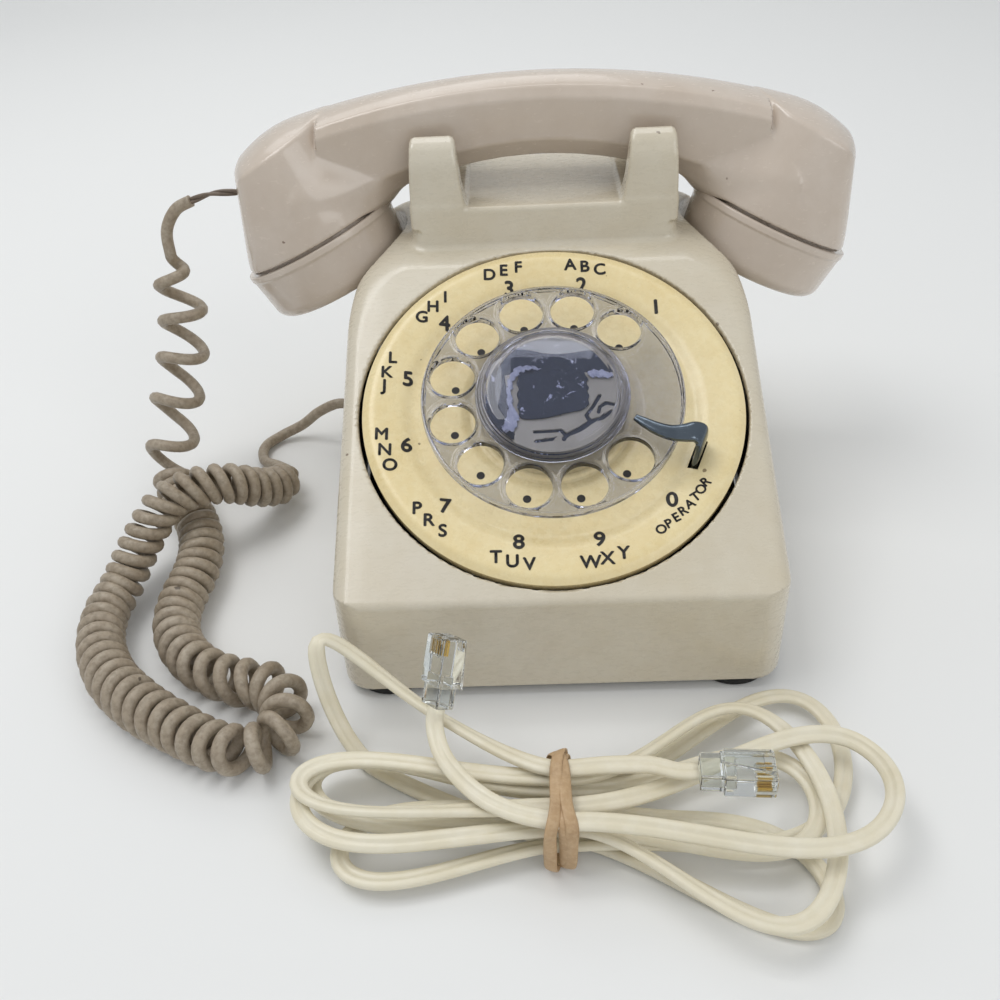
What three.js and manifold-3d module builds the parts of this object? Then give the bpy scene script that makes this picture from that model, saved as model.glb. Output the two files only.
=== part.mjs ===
// A rotary desk telephone: housing with cradle, dial, hook switch, ringer, handset and cords.
// Millimetres, +Z up, front towards -Y. The origin is on the desk under the middle of the set.
import * as THREE from "three";
import { mergeGeometries, mergeVertices } from "three/addons/utils/BufferGeometryUtils.js";
import Module from "manifold-3d";

const wasm = await Module();
wasm.setup();

// ---- Driving dimensions -------------------------------------------------------------------

const seatGap = 0.3; // between pieces that touch

const housingFrontY = -106;
const housingRearY = 106;
const housingBottomZ = 5;
const ridgeZ = 35.5; // where the upright lip meets the dial face
const dialSlope = THREE.MathUtils.degToRad(28);
const shoulderTopZ = 92.7;
const wallThickness = 2.8;
const lipHalfWidth = 62.5;
const shoulderTopHalfWidth = 42.5;
const shoulderStartZ = 74;
const baseFlare = 17;
const platformRearY = 51;

const cradleTopZ = 103.4;
const saddleTopZ = 104.1;
const earTopZ = 126.5;
const earInnerX = 26.5;
const earOuterX = 41.5;
const cradleCentreY = 28;

const faceToDialCentre = 60.5; // from the ridge up the dial face
const dialOpeningRadius = 57.2;
const plateRadius = 56;
const wheelRadius = 38.1;
const fingerHoleRadius = 6.5;
const fingerHoleCircle = 29.9;
const fingerHoles = 10;
const firstHoleDegrees = 46.6; // hole 1, counted anticlockwise from the right
const holePitchDegrees = 29.8;
const coverRadius = 22.3;

const handsetHalfLength = 102;
const capRadius = 27.5;
const capTilt = THREE.MathUtils.degToRad(25);
const capSeam = { x: 76.5, z: -6 }; // centre of the joint between handle and cap, in the handset
const handsetPlace = { y: 24, z: 95, lean: THREE.MathUtils.degToRad(-8) };
const crownZ = 42.5;
const crownRadius = 291;
const gripUndersideZ = 17.5;
const gripUndersideRadius = 131;

const curlyDiameter = 4.2;
const curlRadius = 5.65; // of the centre line
const flatCordWidth = 5;
const flatCordThickness = 2.5;

// ---- Small tools --------------------------------------------------------------------------

const { PI, cos, sin, sqrt, tan, abs, min, max, pow, hypot, round } = Math;
const radians = THREE.MathUtils.degToRad;

function bare(geometry) {
  const g = geometry.clone();
  g.deleteAttribute("normal");
  g.deleteAttribute("uv");
  return mergeVertices(g, 1e-4);
}

function signedVolume(geometry) {
  const p = geometry.attributes.position;
  const a = new THREE.Vector3();
  const b = new THREE.Vector3();
  const c = new THREE.Vector3();
  let volume = 0;
  for (let i = 0; i < geometry.index.count; i += 3) {
    a.fromBufferAttribute(p, geometry.index.getX(i));
    b.fromBufferAttribute(p, geometry.index.getX(i + 1));
    c.fromBufferAttribute(p, geometry.index.getX(i + 2));
    volume += a.dot(b.cross(c)) / 6;
  }
  return volume;
}

// A closed geometry with its faces turned outwards.
function outward(geometry) {
  const g = bare(geometry);
  if (signedVolume(g) < 0) {
    const index = Array.from(g.index.array);
    for (let i = 0; i < index.length; i += 3) {
      [index[i + 1], index[i + 2]] = [index[i + 2], index[i + 1]];
    }
    g.setIndex(index);
  }
  return g;
}

function toSolid(geometry) {
  const g = outward(geometry);
  const mesh = new wasm.Mesh({
    numProp: 3,
    vertProperties: new Float32Array(g.attributes.position.array),
    triVerts: new Uint32Array(g.index.array),
  });
  return new wasm.Manifold(mesh);
}

function toGeometry(solid) {
  const mesh = solid.getMesh();
  const g = new THREE.BufferGeometry();
  g.setAttribute("position", new THREE.BufferAttribute(new Float32Array(mesh.vertProperties), 3));
  g.setIndex(new THREE.BufferAttribute(new Uint32Array(mesh.triVerts), 1));
  return g;
}

function joined(...geometries) {
  return toGeometry(geometries.map(toSolid).reduce((a, b) => a.add(b)));
}

function cutFrom(geometry, ...tools) {
  return toGeometry(tools.map(toSolid).reduce((a, b) => a.subtract(b), toSolid(geometry)));
}

function moved(geometry, x, y, z) {
  return geometry.clone().translate(x, y, z);
}

function block(x0, x1, y0, y1, z0, z1) {
  const g = new THREE.BoxGeometry(x1 - x0, y1 - y0, z1 - z0);
  return g.translate((x0 + x1) / 2, (y0 + y1) / 2, (z0 + z1) / 2);
}

// A round bar along Z from z0 to z1.
function rod(radius, z0, z1, sides = 20, x = 0, y = 0) {
  const g = new THREE.CylinderGeometry(radius, radius, z1 - z0, sides);
  return g.rotateX(PI / 2).translate(x, y, (z0 + z1) / 2);
}

function rodAlongX(radius, x0, x1, sides = 16, y = 0, z = 0) {
  const g = new THREE.CylinderGeometry(radius, radius, x1 - x0, sides);
  return g.rotateZ(PI / 2).translate((x0 + x1) / 2, y, z);
}

function rodAlongY(radius, y0, y1, sides = 16, x = 0, z = 0) {
  return new THREE.CylinderGeometry(radius, radius, y1 - y0, sides).translate(x, (y0 + y1) / 2, z);
}

// A profile of [radius, height] pairs turned about Z. It closes on itself or starts and ends on Z.
function turned(profile, segments = 32) {
  const points = profile.map(([r, z]) => new THREE.Vector2(r, z));
  const onAxis = profile[0][0] === 0 && profile.at(-1)[0] === 0;
  if (!onAxis) points.push(points[0].clone());
  return new THREE.LatheGeometry(points, segments).rotateX(PI / 2);
}

// Rings of equal length joined in order, with a flat cap on the first and the last.
function lofted(rings) {
  const n = rings[0].length;
  const positions = rings.flatMap((ring) => ring.flatMap((p) => [p.x, p.y, p.z]));
  const index = [];
  for (let r = 0; r + 1 < rings.length; r++) {
    for (let i = 0; i < n; i++) {
      const j = (i + 1) % n;
      const [a, b, c, d] = [r * n + i, r * n + j, (r + 1) * n + i, (r + 1) * n + j];
      index.push(a, b, d, a, d, c);
    }
  }
  for (const [start, flip] of [[0, true], [(rings.length - 1) * n, false]]) {
    const ring = rings[flip ? 0 : rings.length - 1];
    const middle = ring.reduce((s, p) => s.add(p), new THREE.Vector3()).divideScalar(n);
    const hub = positions.length / 3;
    positions.push(middle.x, middle.y, middle.z);
    for (let i = 0; i < n; i++) {
      const j = (i + 1) % n;
      index.push(hub, start + (flip ? j : i), start + (flip ? i : j));
    }
  }
  const g = new THREE.BufferGeometry();
  g.setAttribute("position", new THREE.Float32BufferAttribute(positions, 3));
  g.setIndex(index);
  return g;
}

// Corners [x, y, radius] of a convex outline, anticlockwise, as points on rounded corners.
function roundedOutline(corners, steps) {
  const count = corners.length;
  const normals = corners.map(([x, y], i) => {
    const [nx, ny] = corners[(i + 1) % count];
    const length = hypot(nx - x, ny - y);
    return [(ny - y) / length, -(nx - x) / length];
  });
  return corners.flatMap(([x, y, radius], i) => {
    const [ax, ay] = normals[(i + count - 1) % count];
    const [bx, by] = normals[i];
    const reach = radius / (1 + ax * bx + ay * by);
    const cx = x - (ax + bx) * reach;
    const cy = y - (ay + by) * reach;
    const start = Math.atan2(ay, ax);
    let sweep = Math.atan2(by, bx) - start;
    if (sweep < 0) sweep += 2 * PI;
    return Array.from({ length: steps + 1 }, (_, k) => {
      const angle = start + (sweep * k) / steps;
      return [cx + radius * cos(angle), cy + radius * sin(angle)];
    });
  });
}

function roundedRectangle(x0, x1, y0, y1, radius, steps = 3) {
  const r = min(radius, (x1 - x0) / 2 - 0.01, (y1 - y0) / 2 - 0.01);
  return roundedOutline([[x0, y0, r], [x1, y0, r], [x1, y1, r], [x0, y1, r]], steps);
}

function ringAt(outline, z) {
  return outline.map(([x, y]) => new THREE.Vector3(x, y, z));
}

function slab(outline, z0, z1) {
  return lofted([ringAt(outline, z0), ringAt(outline, z1)]);
}

function circleOutline(radius, sides, x = 0, y = 0) {
  return Array.from({ length: sides }, (_, i) => {
    const angle = ((i + 0.5) / sides) * 2 * PI;
    return [x + radius * cos(angle), y + radius * sin(angle)];
  });
}

// A flat shape from an outline, with outlines of its holes.
function flatShape(outline, ...holes) {
  const shape = new THREE.Shape(outline.map(([x, y]) => new THREE.Vector2(x, y)));
  for (const hole of holes) {
    shape.holes.push(new THREE.Path(hole.map(([x, y]) => new THREE.Vector2(x, y)).reverse()));
  }
  return shape;
}

function extruded(shape, z0, z1) {
  return new THREE.ExtrudeGeometry(shape, { depth: z1 - z0, bevelEnabled: false }).translate(0, 0, z0);
}

function gearOutline(teeth, tip, root) {
  const points = [];
  for (let i = 0; i < teeth; i++) {
    for (const [part, radius] of [[-0.3, root], [-0.13, tip], [0.13, tip], [0.3, root]]) {
      const angle = ((i + part) / teeth) * 2 * PI;
      points.push([radius * cos(angle), radius * sin(angle)]);
    }
  }
  return points;
}

const part = new THREE.Group();

function paint(color, roughness, metalness = 0, opacity = 1) {
  return new THREE.MeshStandardMaterial({
    color, roughness, metalness, opacity, transparent: opacity < 1,
  });
}

const finish = {
  housing: () => paint(0xc8bda6, 0.45),
  handset: () => paint(0xb9a895, 0.4),
  plate: () => paint(0xe2cf95, 0.4),
  clear: () => paint(0xe8ebee, 0.08, 0, 0.3),
  steel: () => paint(0x8d9094, 0.3, 0.9),
  zinc: () => paint(0xa9abae, 0.45, 0.8),
  brass: () => paint(0xb5924c, 0.35, 0.9),
  black: () => paint(0x1c1b1a, 0.7),
  rubber: () => paint(0x141414, 0.85),
  curly: () => paint(0x8b8070, 0.6),
  copper: () => paint(0xa8683f, 0.4, 0.7),
  lead: () => paint(0x6e675d, 0.6),
  ivory: () => paint(0xdad3bd, 0.5),
  plug: () => paint(0xd9dcda, 0.15, 0, 0.5),
  band: () => paint(0xb08c64, 0.6),
  dark: () => paint(0x2b2e33, 0.6),
};

function add(parent, name, geometry, material) {
  const mesh = new THREE.Mesh(outward(geometry), material);
  mesh.name = name;
  parent.add(mesh);
  return mesh;
}

// ---- Housing ------------------------------------------------------------------------------

// From a cap's own frame, Z out of its face, to the handset's. side is -1 at the left end.
function placeCap(geometry, side) {
  const g = geometry.clone();
  g.rotateY(-side * (PI - capTilt));
  return g.translate(side * capSeam.x, 0, capSeam.z);
}

// From the handset's frame to the set's.
function placeInHandset(geometry) {
  return geometry.clone().rotateX(handsetPlace.lean).translate(0, handsetPlace.y, handsetPlace.z);
}

// The larger of two values with the corner between them rounded.
function softMax(a, b, softness) {
  return 0.5 * (a + b + sqrt((a - b) ** 2 + softness ** 2));
}

function frontY(z) {
  const lip = housingFrontY + (z - housingBottomZ) * 0.012;
  const face = housingFrontY + 0.5 + (z - ridgeZ) / tan(dialSlope);
  return softMax(lip, face, 2.2);
}

function rearY(z) {
  const drop = (shoulderTopZ - z) / (shoulderTopZ - housingBottomZ);
  return platformRearY + (housingRearY - platformRearY) * pow(max(drop, 0), 1.25);
}

// Upright sides that roll over a quarter ellipse into the shoulders.
function frontHalfWidth(z) {
  const climb = max(0, (z - shoulderStartZ) / (shoulderTopZ - shoulderStartZ));
  const roll = sqrt(max(0, 1 - climb ** 2));
  return shoulderTopHalfWidth + (lipHalfWidth - shoulderTopHalfWidth) * roll;
}

function rearHalfWidth(z) {
  return frontHalfWidth(z) + baseFlare * pow(max(0, 1 - z / 70), 1.5);
}

// Outline of the housing at height z, drawn in all round by `inset`.
function housingOutline(z, inset = 0) {
  const [f, b] = [frontHalfWidth(z) - inset, rearHalfWidth(z) - inset];
  const [y0, y1] = [frontY(z) + inset, rearY(z) - inset];
  const front = max((z < ridgeZ ? 8.5 : 5.5) - inset, 1);
  const rear = max(min(24, (y1 - y0) / 2.4) - inset, 2);
  return roundedOutline([[-f, y0, front], [f, y0, front], [b, y1, rear], [-b, y1, rear]], 4);
}

function housingRings(heights, inset) {
  return heights.map((z) => ringAt(housingOutline(z, inset), z));
}

const outerHeights = [5, 20, 33.5, 35.5, 38, 50, 62, 74, 79.5, 84, 87.5, 90.2, 92.4];
const innerHeights = [3, 18, 32.5, 36, 48, 61, 74, 79.5, 83.5, 87];

function cradleEar(side, front) {
  // Stations of height, inner and outer x, near and far distance from the handset's middle.
  const stations = [
    [98, 24.5, 42, 13.2, 25.4],
    [saddleTopZ, 24.8, 42, 14.6, 25.4],
    [110, earInnerX, earOuterX, 16, 25.2],
    [124, earInnerX + 1.6, earOuterX - 1.4, 18.8, 25],
    [earTopZ, earInnerX + 4, earOuterX - 4, 20.6, 23.2],
  ];
  const direction = front ? -1 : 1;
  const rings = stations.map(([z, inner, outer, near, far]) => {
    const xs = [side * inner, side * outer].sort((a, b) => a - b);
    const ys = [direction * near, direction * far].map((d) => cradleCentreY + d);
    ys.sort((a, b) => a - b);
    return ringAt(roundedRectangle(xs[0], xs[1], ys[0], ys[1], 2.6, 2), z);
  });
  return lofted(rings);
}

const plungerX = 33.5;
const plungerY = 26.2;

// Room for a handset cap to hang beside the cradle, in the cap's own frame.
function wellProfile(extra) {
  const r = capRadius + 1.4 + extra;
  return [[0, -12], [r, -12], [r, 12], [r - 5, 17 + extra], [0, 18 + extra]];
}

function housingGeometry() {
  const body = lofted(housingRings(outerHeights, 0));
  const platform = lofted([
    ringAt(roundedRectangle(-43, 43, 1.2, 54, 5, 3), 88),
    ringAt(roundedRectangle(-42.4, 42.4, 2.2, 53.8, 5, 3), 96),
    ringAt(roundedRectangle(-42, 42, 2.6, 53.4, 5, 3), 102.6),
    ringAt(roundedRectangle(-41, 41, 3.6, 52.4, 4, 3), cradleTopZ),
  ]);
  const saddles = [-1, 1].map((s) => {
    const [x0, x1] = s < 0 ? [-42, -24.5] : [24.5, 42];
    return lofted([
      ringAt(roundedRectangle(x0, x1, 2.6, 53.4, 4, 2), 98),
      ringAt(roundedRectangle(x0, x1, 2.6, 53.4, 4, 2), saddleTopZ - 0.8),
      ringAt(roundedRectangle(x0 + 0.8, x1 - 0.8, 3.4, 52.6, 3.4, 2), saddleTopZ),
    ]);
  });
  const ears = [[-1, true], [1, true], [-1, false], [1, false]].map(([s, f]) => cradleEar(s, f));
  const wells = [-1, 1].map((side) => {
    return toSolid(placeInHandset(placeCap(turned(wellProfile(0), 16), side)));
  });
  let shell = [body, platform].map(toSolid).reduce((a, b) => a.add(b));
  shell = wells.reduce((a, b) => a.subtract(b), shell);
  shell = [...saddles, ...ears].map(toSolid).reduce((a, b) => a.add(b), shell);

  // The hollow, with the finger recess at the back kept walled off from it.
  const cavity = toSolid(lofted(housingRings(innerHeights, wallThickness)));
  const cradleHollow = toSolid(
    lofted([
      ringAt(roundedRectangle(-39, 39, 6, 50, 3), 80),
      ringAt(roundedRectangle(-39, 39, 6, 50, 3), 100.8),
    ]),
  );
  const recess = lofted([
    [[-34, 42, 66], [34, 42, 66], [34, 42, 88], [-34, 42, 88]],
    [[-37, 90, 60], [37, 90, 60], [37, 90, 91], [-37, 90, 91]],
  ].map((ring) => ring.map(([x, y, z]) => new THREE.Vector3(x, y, z))));
  const recessWall = block(-37, 37, 39.6, 90, 57.5, 91);
  const wellWalls = [-1, 1].map((side) => {
    return toSolid(placeInHandset(placeCap(turned(wellProfile(wallThickness), 12), side)));
  });
  let hollow = cavity.add(cradleHollow).subtract(toSolid(recessWall));
  hollow = wellWalls.reduce((a, b) => a.subtract(b), hollow);
  shell = shell.subtract(hollow).subtract(toSolid(recess));

  // Openings: dial, plungers, cord bush, line jack.
  const dialHole = placeOnFace(rod(dialOpeningRadius, -9, 6, 36));
  shell = shell.subtract(toSolid(dialHole));
  for (const side of [-1, 1]) {
    shell = shell.subtract(toSolid(rod(4.9, 95, 110, 16, side * plungerX, plungerY)));
  }
  shell = shell.subtract(toSolid(placeOnSide(rod(bushRadius + seatGap, -12, 12, 14))));
  const jackHole = block(jackX - 8.3, jackX + 8.3, 80, 110, 8.2, 24.8);
  shell = shell.subtract(toSolid(jackHole));

  // Screw bosses, tied to the walls by ribs.
  for (const { x, y, z, top, ribTo, ribTop } of screwPlaces) {
    const rib = block(x - 1.2, x + 1.2, min(y, ribTo), max(y, ribTo), z + 4, ribTop);
    shell = shell.add(toSolid(rod(4.5, z, top, 10, x, y))).add(toSolid(rib));
    shell = shell.subtract(toSolid(rod(2.1, z - 1, z + 14, 8, x, y)));
  }
  return toGeometry(shell);
}

const dialCentre = {
  y: housingFrontY + 0.5 + faceToDialCentre * cos(dialSlope),
  z: ridgeZ + faceToDialCentre * sin(dialSlope),
};

// From the dial's own frame, with Z square to the face, to the set's.
function placeOnFace(geometry) {
  return geometry.clone().rotateX(dialSlope).translate(0, dialCentre.y, dialCentre.z);
}

const bushWall = { x: -71, y: 32, z: 14.5, lean: radians(12.4) }; // where the cord leaves the wall
const bushRadius = 4.4;
const jackX = 34;
const jackFaceY = 95.5;
// From a frame with Z square to the left wall, at the cord's exit, to the set's.
function placeOnSide(geometry) {
  const turnedOut = geometry.clone().rotateY(-PI / 2 + bushWall.lean);
  return turnedOut.translate(bushWall.x, bushWall.y, bushWall.z);
}

const screwPlaces = [
  { x: 0, y: -88, z: 9, top: 30, ribTo: -104, ribTop: 30 },
  { x: 0, y: 76, z: 9, top: 38, ribTo: 91, ribTop: 21 },
];

const set = new THREE.Group();
part.add(set);
add(set, "housing", housingGeometry(), finish.housing());

// ---- Base plate, feet and screws ----------------------------------------------------------

const basePlateZ = 6.6;
const basePlateTop = 8.2;
const feet = {
  foot_front_left: [-50, -93],
  foot_front_right: [50, -93],
  foot_rear_left: [-58, 82],
  foot_rear_right: [58, 82],
};

function basePlateGeometry() {
  const { x: wx, y: wy } = wheelPlace;
  const holes = [
    ...Object.values(feet).map(([x, y]) => circleOutline(4.3, 10, x, y)),
    ...screwPlaces.map(({ x, y }) => circleOutline(2.3, 8, x, y)),
    roundedRectangle(wx + 2, wx + 9, wy - 7, wy + 7, 3),
  ];
  const outline = housingOutline(10, wallThickness + 0.8);
  return extruded(flatShape(outline, ...holes), basePlateZ, basePlateTop);
}

function footGeometry() {
  return turned([
    [0, 0], [7.6, 0], [8.6, 0.9], [8.6, basePlateZ - seatGap], [4, basePlateZ - seatGap],
    [4, basePlateTop + seatGap], [5.4, basePlateTop + seatGap], [4, 11], [0, 11],
  ], 9);
}

function housingScrewGeometry() {
  const slot = block(-4.5, 4.5, -0.5, 0.5, 3, 4.2);
  const screw = turned([
    [0, 3.6], [3, 3.6], [4, 4.6], [4, 6.2], [1.75, 6.2], [1.75, 19], [0.9, 21], [0, 21],
  ], 8);
  return cutFrom(screw, slot);
}

const wheelPlace = { x: 50, y: -30 };
add(set, "base_plate", basePlateGeometry(), finish.zinc());
for (const [name, [x, y]] of Object.entries(feet)) {
  add(set, name, moved(footGeometry(), x, y, 0), finish.rubber());
}
screwPlaces.forEach(({ x, y }, i) => {
  const name = i ? "housing_screw_rear" : "housing_screw_front";
  add(set, name, moved(housingScrewGeometry(), x, y, 0), finish.steel());
});

// ---- Dial ---------------------------------------------------------------------------------

const dial = new THREE.Group(); // origin on the face plane at the dial's middle, Z square to it
dial.position.set(0, dialCentre.y, dialCentre.z);
dial.rotation.x = dialSlope;
part.add(dial);

const wheelBottom = 3.6;
const wheelTop = 6.4;
const frameFlangeZ = -3.4;
const frameDepthZ = -24;
const stopLegAngle = radians(-21);
const stopLegRadius = 44.2;

function numberPlateGeometry() {
  const ring = turned([
    [11, -2.4], [24.5, -2.4], [27, -1.3], [41.5, -1.3], [45, 0.2], [53.6, 1.5], [plateRadius, 0],
    [plateRadius, -3.6], [plateRadius - 1.3, -3.6], [53.2, -0.4], [42, -2.7], [11, -3.9],
  ], 34);
  const slot = block(-2, 2, -5, 5, -5, 3).rotateZ(stopLegAngle);
  const [slotX, slotY] = [stopLegRadius * cos(stopLegAngle), stopLegRadius * sin(stopLegAngle)];
  return cutFrom(ring, moved(slot, slotX, slotY, 0));
}

// A steel hook: a flat leg up through the plate, bent over and narrowed to a blunt tip.
function fingerStopGeometry() {
  const polar = (r, degrees, z) => {
    const angle = radians(degrees);
    return new THREE.Vector3(r * cos(angle), r * sin(angle), z);
  };
  // Place, half width and half thickness along the strip.
  const stations = [
    [polar(stopLegRadius, -21, -5.2), 4, 0.9],
    [polar(stopLegRadius, -20.6, 2), 4, 0.9],
    [polar(stopLegRadius + 0.2, -18.5, 7), 3.9, 1],
    [polar(43.4, -15, 9.6), 4, 1.2],
    [polar(40.4, -12.4, 10.4), 3.7, 1.3],
    [polar(36, -11.4, 10.3), 3, 1.3],
    [polar(31.4, -11, 10), 2.4, 1.2],
    [polar(27.5, -9.6, 9.8), 1.9, 1.1],
    [polar(25, -7.8, 9.7), 1.2, 0.8],
  ];
  const across = new THREE.Vector3(sin(radians(14)), cos(radians(14)), 0);
  const rings = stations.map(([place, half, thick], i) => {
    const before = stations[max(i - 1, 0)][0];
    const after = stations[min(i + 1, stations.length - 1)][0];
    const along = after.clone().sub(before).normalize();
    const side = across.clone().addScaledVector(along, -across.dot(along)).normalize();
    const up = along.clone().cross(side);
    return roundedRectangle(-half, half, -thick, thick, 0.6, 1).map(([a, b]) => {
      return place.clone().addScaledVector(side, a).addScaledVector(up, b);
    });
  });
  return lofted(rings);
}

function holeCentre(i) {
  const angle = radians(firstHoleDegrees + i * holePitchDegrees);
  return [fingerHoleCircle * cos(angle), fingerHoleCircle * sin(angle)];
}

// Clear disc with ten chamfered finger holes, a beaded rim and a sunk middle where the nut bears.
function fingerWheelGeometry() {
  const [low, high] = [wheelBottom, wheelTop];
  const disc = turned([
    [2.6, low], [wheelRadius - 1.2, low], [wheelRadius, low + 0.8], [wheelRadius, high - 0.2],
    [wheelRadius - 0.6, high + 0.5], [wheelRadius - 1.4, high], [17.5, high], [17.5, low + 1.2],
    [2.6, low + 1.2],
  ], 32);
  const bore = turned([
    [0, low - 1], [fingerHoleRadius, low - 1], [fingerHoleRadius + 0.3, high + 1], [0, high + 1],
  ], 10);
  const bores = Array.from({ length: fingerHoles }, (_, i) => moved(bore, ...holeCentre(i), 0));
  return cutFrom(disc, ...bores);
}

const spindleRadius = 3.4;

function cardCoverGeometry() {
  const base = wheelTop + seatGap;
  return turned([
    [coverRadius, base], [coverRadius, base + 0.8], [20.8, base + 1.6], [19.8, base + 3.4],
    [17, base + 4.3], [0, base + 5.2], [0, base + 4.2], [16.5, base + 3.3], [18.8, base + 2.4],
    [20.5, base],
  ], 18);
}

// Card plate with the S and U shaped slots that leave its spring fingers.
function cardPlateGeometry() {
  const z = wheelTop + seatGap;
  const disc = rod(19, z, z + 0.7, 24);
  const bar = (x, y, length, angle) => {
    const slot = block(-length / 2, length / 2, -0.6, 0.6, z - 1, z + 2);
    return slot.rotateZ(radians(angle)).translate(x, y, 0);
  };
  return cutFrom(
    disc,
    block(-9.5, 8.5, -5, 6.5, z - 1, z + 2),
    bar(-0.5, -9.6, 8, 2), bar(4.2, -11.6, 4.2, -52), bar(0.4, -13.6, 6.4, 14),
    bar(12.2, -1.2, 5.4, 62), bar(14.6, -5.4, 5, 40), bar(10.8, -9, 6.4, 38),
  );
}

function numberCardGeometry() {
  const outline = [[-10.5, -5.5, 2.5], [9, -6, 1.5], [9.6, 7, 1.2], [-4, 7.6, 3], [-10.8, 4.6, 2.5]];
  const z = wheelTop + 2 * seatGap + 0.7;
  return slab(roundedOutline(outline, 2), z, z + 0.5);
}

function spindleGeometry() {
  const shaft = rod(spindleRadius, frameDepthZ + 2 + seatGap, wheelBottom - seatGap, 12);
  return joined(shaft, rod(2.2, frameDepthZ + 4, wheelTop - 0.6, 12));
}

function spindleNutGeometry() {
  const z = wheelBottom + 1.2 + seatGap;
  return cutFrom(rod(5.2, z, z + 1.2, 6), rod(2.5, z - 1, z + 3, 16));
}

const mainTeeth = 20;
const pulseTeeth = 10;
const gearModule = 1.6;
const mainPitch = (mainTeeth * gearModule) / 2;
const pulsePitch = (pulseTeeth * gearModule) / 2;
const pulseAngle = radians(200);
const pulsePlace = {
  x: (mainPitch + pulsePitch + 0.12) * cos(pulseAngle),
  y: (mainPitch + pulsePitch + 0.12) * sin(pulseAngle),
};

function mainGearGeometry() {
  const outline = gearOutline(mainTeeth, mainPitch + 1.15, mainPitch - 1.6);
  const bore = circleOutline(spindleRadius + 0.25, 12);
  return extruded(flatShape(outline, bore), -11, -9.4).rotateZ(pulseAngle);
}

function pulseGearGeometry() {
  const shape = flatShape(gearOutline(pulseTeeth, pulsePitch + 1.15, pulsePitch - 1.6));
  // A gap of the small gear faces a tooth of the large one.
  const gear = extruded(shape, -11, -9.4).rotateZ(pulseAngle + PI + PI / pulseTeeth);
  const shaft = rod(1.4, frameDepthZ + 2.4, -7.2, 8);
  const cam = slab(roundedRectangle(-4, 4, -2.6, 2.6, 1.2, 2), -13.6, -11.8);
  return moved(joined(gear, shaft, cam, rod(2.4, -13.7, -10.9, 8)), pulsePlace.x, pulsePlace.y, 0);
}

function springBarrelGeometry() {
  return cutFrom(rod(12.5, -19.5, -12.6, 20), rod(spindleRadius + 0.3, -21, -11, 12));
}

// Cast frame: a flange under the number plate, a round wall and a floor with two bearings.
function dialFrameGeometry() {
  const pan = turned([
    [0, frameDepthZ], [35.5, frameDepthZ], [37.2, frameDepthZ + 1.5], [37.6, frameFlangeZ - 1.6],
    [41, frameFlangeZ - 1.6], [41, frameFlangeZ], [35.8, frameFlangeZ], [35.4, frameDepthZ + 2],
    [0, frameDepthZ + 2],
  ], 20);
  const windows = [80, 260].map((degrees) => {
    return block(30, 42, -7, 7, frameDepthZ + 4, frameFlangeZ - 4).rotateZ(radians(degrees));
  });
  const stopTab = block(37.8, 42.2, -4, 4, frameFlangeZ - 1.6, frameFlangeZ).rotateZ(stopLegAngle);
  return cutFrom(joined(pan, stopTab), ...windows, rod(1.7, -40, -20, 12, pulsePlace.x, pulsePlace.y));
}

function pulseContactsGeometry() {
  const stack = block(18, 26, -6, 4, -21.7, -15.4);
  const leaves = [-20.6, -18.6, -16.6].map((z) => block(18.5, 25, -24, 0, z, z + 0.5));
  return joined(stack, ...leaves);
}

function governorCupGeometry() {
  return cutFrom(rod(6.6, -21.7, -15, 14, 10, 24), rod(5.4, -19.8, -14, 14, 10, 24));
}

// Two posts from the base plate to the ears of the dial frame, joined by a bar along the base.
function dialBracketGeometry() {
  const deck = basePlateTop + seatGap;
  const carryZ = frameFlangeZ - 1.6 - seatGap;
  const postY = dialCentre.y - carryZ * sin(dialSlope);
  const topAt = (y) => dialCentre.z + carryZ * cos(dialSlope) + (y - postY) * tan(dialSlope);
  const posts = [-1, 1].map((s) => {
    const [x0, x1] = [s * 39.8 - 1.6, s * 39.8 + 1.6];
    const corners = [[x0, postY - 4], [x1, postY - 4], [x1, postY + 4], [x0, postY + 4]];
    return lofted([
      ringAt(corners, deck),
      corners.map(([x, y]) => new THREE.Vector3(x, y, topAt(y))),
    ]);
  });
  return joined(...posts, block(-41.4, 41.4, postY - 4, postY + 4, deck, deck + 1.6));
}

add(set, "dial_bracket", dialBracketGeometry(), finish.zinc());
add(dial, "number_plate", numberPlateGeometry(), finish.plate());
add(dial, "finger_stop", fingerStopGeometry(), finish.steel());
add(dial, "dial_frame", dialFrameGeometry(), finish.zinc());
add(dial, "pulse_contacts", pulseContactsGeometry(), finish.brass());
add(dial, "governor_cup", governorCupGeometry(), finish.zinc());
add(dial, "finger_wheel", fingerWheelGeometry(), finish.clear());
add(dial, "card_plate", cardPlateGeometry(), finish.housing());
add(dial, "number_card", numberCardGeometry(), finish.dark());
add(dial, "card_cover", cardCoverGeometry(), finish.clear());
add(dial, "dial_spindle", spindleGeometry(), finish.steel());
add(dial, "spindle_nut", spindleNutGeometry(), finish.brass());
add(dial, "main_gear", mainGearGeometry(), finish.brass());
add(dial, "spring_barrel", springBarrelGeometry(), finish.steel());
add(dial, "pulse_gear", pulseGearGeometry(), finish.brass());

// ---- Hook switch --------------------------------------------------------------------------

const plungerTopZ = 105.9;
const plungerFootZ = 76;
const leverPivot = { y: 8, z: 66 };

function plungerGeometry() {
  return turned([
    [0, plungerFootZ], [2.4, plungerFootZ], [2.6, 92], [4.5, 92.4], [4.5, plungerTopZ - 1.4],
    [3.2, plungerTopZ - 0.3], [0, plungerTopZ],
  ], 12);
}

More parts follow.
